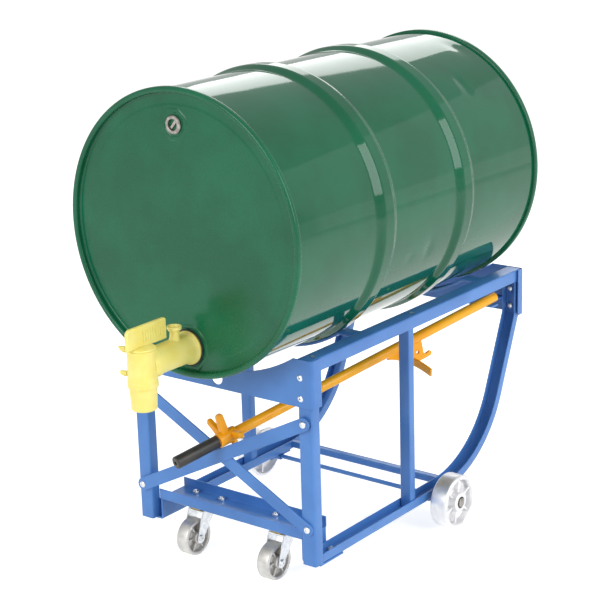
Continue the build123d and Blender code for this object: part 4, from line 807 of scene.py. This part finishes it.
pushLine = rounded([(296.3, axleR), (298.8, axleR), (298.8, 8), (297.6, 10), (296.3, 10)], 0.4, 3)
sleeveLine = ringLine(rear["hubIn"], rear["hubOut"], axleR + 0.05, rear["bearingR"], 0.7, 3)
for side, word in both:
    path = np.stack([np.full(len(clipLine), side * channelMid), clipLine[:, 0] + rear["at"] + rimY, clipLine[:, 1]], 1)
    clipParts.append(swept(clipSection, path, (1, 0, 0), clipUp))
    spacerParts.append(turned(spacerLine * (side, 1), axleMid, (1, 0, 0), 40))
    capParts.append(turned(pushLine * (side, 1), axleMid, (1, 0, 0), 40))
    wheelMid = at(side * rear["mid"], rear["at"], rear["r"])
    line = rounded(np.array(rear["wheel"]) * (side, 1), rear["wheelSoft"], 7)
    wheelParts = [turned(line, wheelMid, (1, 0, 0), 128)] + spokes(wheelMid, 0.35, boxLoop(3, 15, 2.6, 5), 20, 52.5)
    addPiece(f"{word}RearWheel", wheelParts, f"{word}_rear_roller", f"{word}_rear_wheel", "grey_cast_wheel")
    sleeve = turned(sleeveLine * (side, 1), axleMid, (1, 0, 0), 56)
    addPiece(f"{word}WheelBearing", [sleeve], f"{word}_rear_roller", f"{word}_wheel_bearing", "black_bearing")
addFramePiece("axleClips", clipParts, "axle_clips")
addPlated("axleSpacers", spacerParts, "frame", "axle_spacers")
addPiece("axleCaps", capParts, "frame", "axle_caps", "zinc_plate", dullZinc)
print("rear wheels made")

# lever: tube, grip, bung wrench, hook and heel; u runs along it from the brace
lever = {"x": 4.0, "at": 86, "yaw": 16.5, "pitch": 11.9, "tubeR": 11.1, "wall": 2.5, "gripR": 13.4, "front": -115,
         "gripTo": -10, "tail": 772, "collarR": 15.5, "heelAt": 500, "heelR": 250, "heelTop": 28, "heelTall": 20,
         "heelHalf": 78, "heelThick": 5, "hookThick": 6, "hookEye": (529, -34, 4),
         # each lug of the wrench: place along the lever, degrees round it, reach, width, depth
         "lugs": ((26, 165, 46, 17, 13), (11, 82, 52, 20, 18), (7, 30, 55, 18, 14), (26, 250, 42, 13, 13))}
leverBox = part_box("lever_tube")
yaw, pitch = radians(lever["yaw"]), radians(lever["pitch"])
ahead = np.array([sin(yaw) * cos(pitch), cos(yaw) * cos(pitch), sin(pitch)])
left = np.array([-cos(yaw), sin(yaw), 0])
up = np.cross(ahead, left)
frontTop = leverBox[0][2] / mm + lever["tubeR"] * sqrt(1 - ahead[2] ** 2)
leverZ = frontTop - (lever["front"] + 4) * ahead[2]
leverAt = at(lever["x"], lever["at"], leverZ)
tubeR, tubeFrom, tail, gripR = lever["tubeR"], lever["front"] + 4, lever["tail"], lever["gripR"]
bore, skin = tubeR - lever["wall"], tubeR + 0.05
tube = turned(ringLine(tubeFrom, tail, bore, tubeR, 0.8, 3), leverAt, ahead, 56)
addPiece("leverTube", [tube], "lever", "lever_tube", "orange_enamel")
gripLine = [(lever["front"], 4), (lever["front"], gripR), (lever["gripTo"], gripR), (lever["gripTo"], skin),
            (tubeFrom + 0.1, skin), (tubeFrom + 0.1, 4)]
grip = turned(rounded(gripLine, (1, 2.6, 1.4, 0.3, 0.3, 0.3), 6), leverAt, ahead, 64)
addPiece("leverGrip", [grip], "lever", "lever_grip", "black_rubber")
collarR = lever["collarR"]
collarLine = rounded([(-8, skin), (36, skin), (36, collarR - 1), (34, collarR), (-7, collarR), (-8, collarR - 1)], 0.8, 3)
wrenchParts = [turned(collarLine, leverAt, ahead, 56)]
steps = np.linspace(0, 1, 14)
# a lug tapers by a fifth and rounds off at its tip
swell = ((1.0 - 0.22 * steps) * np.sqrt(1 - 0.5 * np.clip((steps - 0.9) / 0.1, 0, 1) ** 2))[:, None]
for along, angle, reach, wide, deep in lever["lugs"]:
    out = cos(radians(angle)) * left + sin(radians(angle)) * up
    lugLine = boxLoop(wide / 2, deep / 2, min(wide, deep) * 0.3, 6)
    path = leverAt + along * ahead + (12 + (reach - 12) * steps)[:, None] * out
    wrenchParts.append(swept(lugLine, path, np.cross(out, ahead) * swell, ahead * swell))
addPiece("wrenchHead", wrenchParts, "lever", "wrench_head", "orange_enamel")
noseAngle = np.radians(np.linspace(-85, 120, 12))
prong = np.stack([561.3 + 5.5 * np.cos(noseAngle), -49.8 + 5.5 * np.sin(noseAngle)], 1)
hookLine = np.concatenate([[(442, -10.9), (520, -56), (548, -56)], prong,
                           [(552, -46.5), (546.5, -44.5), (545, -41), (545, -10.9)]])
eye = circleLoop(lever["hookEye"][:2], lever["hookEye"][2], 20)
hook = plate(hookLine, leverAt, ahead, up, lever["hookThick"], 0.9, [eye])
addPiece("chimeHook", [hook], "lever", "chime_hook", "orange_enamel")
heelMidR = lever["heelR"] - lever["heelTall"] / 2
heelAngle = np.arcsin(np.linspace(-lever["heelHalf"], lever["heelHalf"], 33) / heelMidR)
heelOut = np.sin(heelAngle)[:, None] * left + np.cos(heelAngle)[:, None] * up
heelPath = leverAt + lever["heelAt"] * ahead - (lever["heelTop"] + lever["heelR"]) * up + heelMidR * heelOut
heelSection = boxLoop(lever["heelThick"] / 2, lever["heelTall"] / 2, 1.2, 4)
addPiece("hookHeel", [swept(heelSection, heelPath, ahead, heelOut)], "lever", "hook_heel", "orange_enamel")
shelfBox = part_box("lever_shelf")
low, high = np.array(shelfBox[0]) / mm, np.array(shelfBox[1]) / mm
shelf = [(low[0], low[1]), (high[0], low[1]), (high[0], low[1] + 24), (steel["channelIn"], low[1] + 42),
         (steel["channelIn"], high[1]), (low[0], high[1])]
shelf = plate(rounded(shelf, (5, 5, 5, 8, 0.5, 0.5), 5), (0, 0, (low[2] + high[2]) / 2), (1, 0, 0), (0, 1, 0),
              high[2] - low[2], 0.8)
addFramePiece("leverShelf", [shelf], "lever_shelf")
print("lever made")

# floor, light and camera
studio = {"floor": "#f7f7f6", "floorHalf": 300, "floorGlow": 0.56, "worldGrey": 0.5, "worldSeen": 0.78, "aim": (0, 0, 0.6)}
floorMesh = bpy.data.meshes.new("floor")
corners = np.array([(-1, -1, 0), (1, -1, 0), (1, 1, 0), (-1, 1, 0)]) * studio["floorHalf"]
floorMesh.from_pydata(corners.tolist(), [], [(0, 1, 2, 3)])
floor = bpy.data.objects.new("floor", floorMesh)
bpy.context.scene.collection.objects.link(floor)
floorPaint, tree, shader, place = startMaterial("paperSweep", 0.9, ior=1.45)
shader.inputs["Base Color"].default_value = tint(studio["floor"])


def whereSeen(tree, low, high):
    # the high value for rays that look, in mirrors and glass too, and the low value for rays that light
    rays = addNode(tree, "ShaderNodeLightPath")
    seen = addNode(tree, "ShaderNodeMath", {0: rays.outputs["Is Camera Ray"], 1: rays.outputs["Is Glossy Ray"]},
                   operation="MAXIMUM")
    seen = addNode(tree, "ShaderNodeMath", {0: seen.outputs[0], 1: rays.outputs["Is Transmission Ray"]},
                   operation="MAXIMUM")
    level = addNode(tree, "ShaderNodeMapRange", {"Value": seen.outputs[0], "To Min": low, "To Max": high})
    return level.outputs["Result"]


# the sweep is lifted to white where it is seen, and still takes the shadow
shader.inputs["Emission Color"].default_value = (1, 1, 1, 1)
tree.links.new(whereSeen(tree, 0.0, studio["floorGlow"]), shader.inputs["Emission Strength"])
floorMesh.materials.append(floorPaint)

world = bpy.data.worlds.new("studio")
bpy.context.scene.world = world
world.use_nodes = True
sky = world.node_tree.nodes["Background"]
sky.inputs["Color"].default_value = (1, 1, 1, 1)
world.node_tree.links.new(whereSeen(world.node_tree, studio["worldGrey"], studio["worldSeen"]), sky.inputs["Strength"])


def addLamp(name, place, aim, width, height, power):
    # a soft box that looks at its aim
    lamp = bpy.data.lights.new(name, "AREA")
    lamp.shape, lamp.size, lamp.size_y, lamp.energy = "RECTANGLE", width, height, power
    holder = bpy.data.objects.new(name, lamp)
    bpy.context.scene.collection.objects.link(holder)
    holder.location = place
    holder.rotation_euler = (Vector(aim) - Vector(place)).to_track_quat("-Z", "Y").to_euler()


# each lamp: which way it stands from the middle of the object, how high, how far, its size in metres and its power
lamps = {"frontBox": (-8, 22, 6.0, 2.8, 2.8, 146), "sideBox": (92, 25, 4.6, 2.8, 2.8, 120),
         "rearRightBox": (157, 13, 4.2, 3.4, 2.8, 12), "rearLeftBox": (-150, 26, 4.2, 2.0, 1.4, 24)}
for name, (around, rise, far, width, height, power) in lamps.items():
    around, rise = radians(around), radians(rise)
    way = np.array([sin(around) * cos(rise), -cos(around) * cos(rise), sin(rise)])
    addLamp(name, way * far + studio["aim"], studio["aim"], width, height, power)

shot = {"place": (2.2013, -2.8184, 1.5812), "right": (0.79365, 0.6077, -0.02856), "up": (-0.15069, 0.24185, 0.95854),
        "back": (0.58942, -0.75644, 0.28353), "lens": 104.29}
lens = bpy.data.cameras.new("camera")
lens.lens, lens.sensor_width, lens.sensor_fit = shot["lens"], 36, "HORIZONTAL"
camera = bpy.data.objects.new("camera", lens)
bpy.context.scene.collection.objects.link(camera)
turnTo = Matrix((shot["right"], shot["up"], shot["back"])).transposed().to_4x4()
camera.matrix_world = Matrix.Translation(shot["place"]) @ turnTo
bpy.context.scene.camera = camera
bpy.context.scene.view_settings.view_transform = "Standard"

print("scene ready")
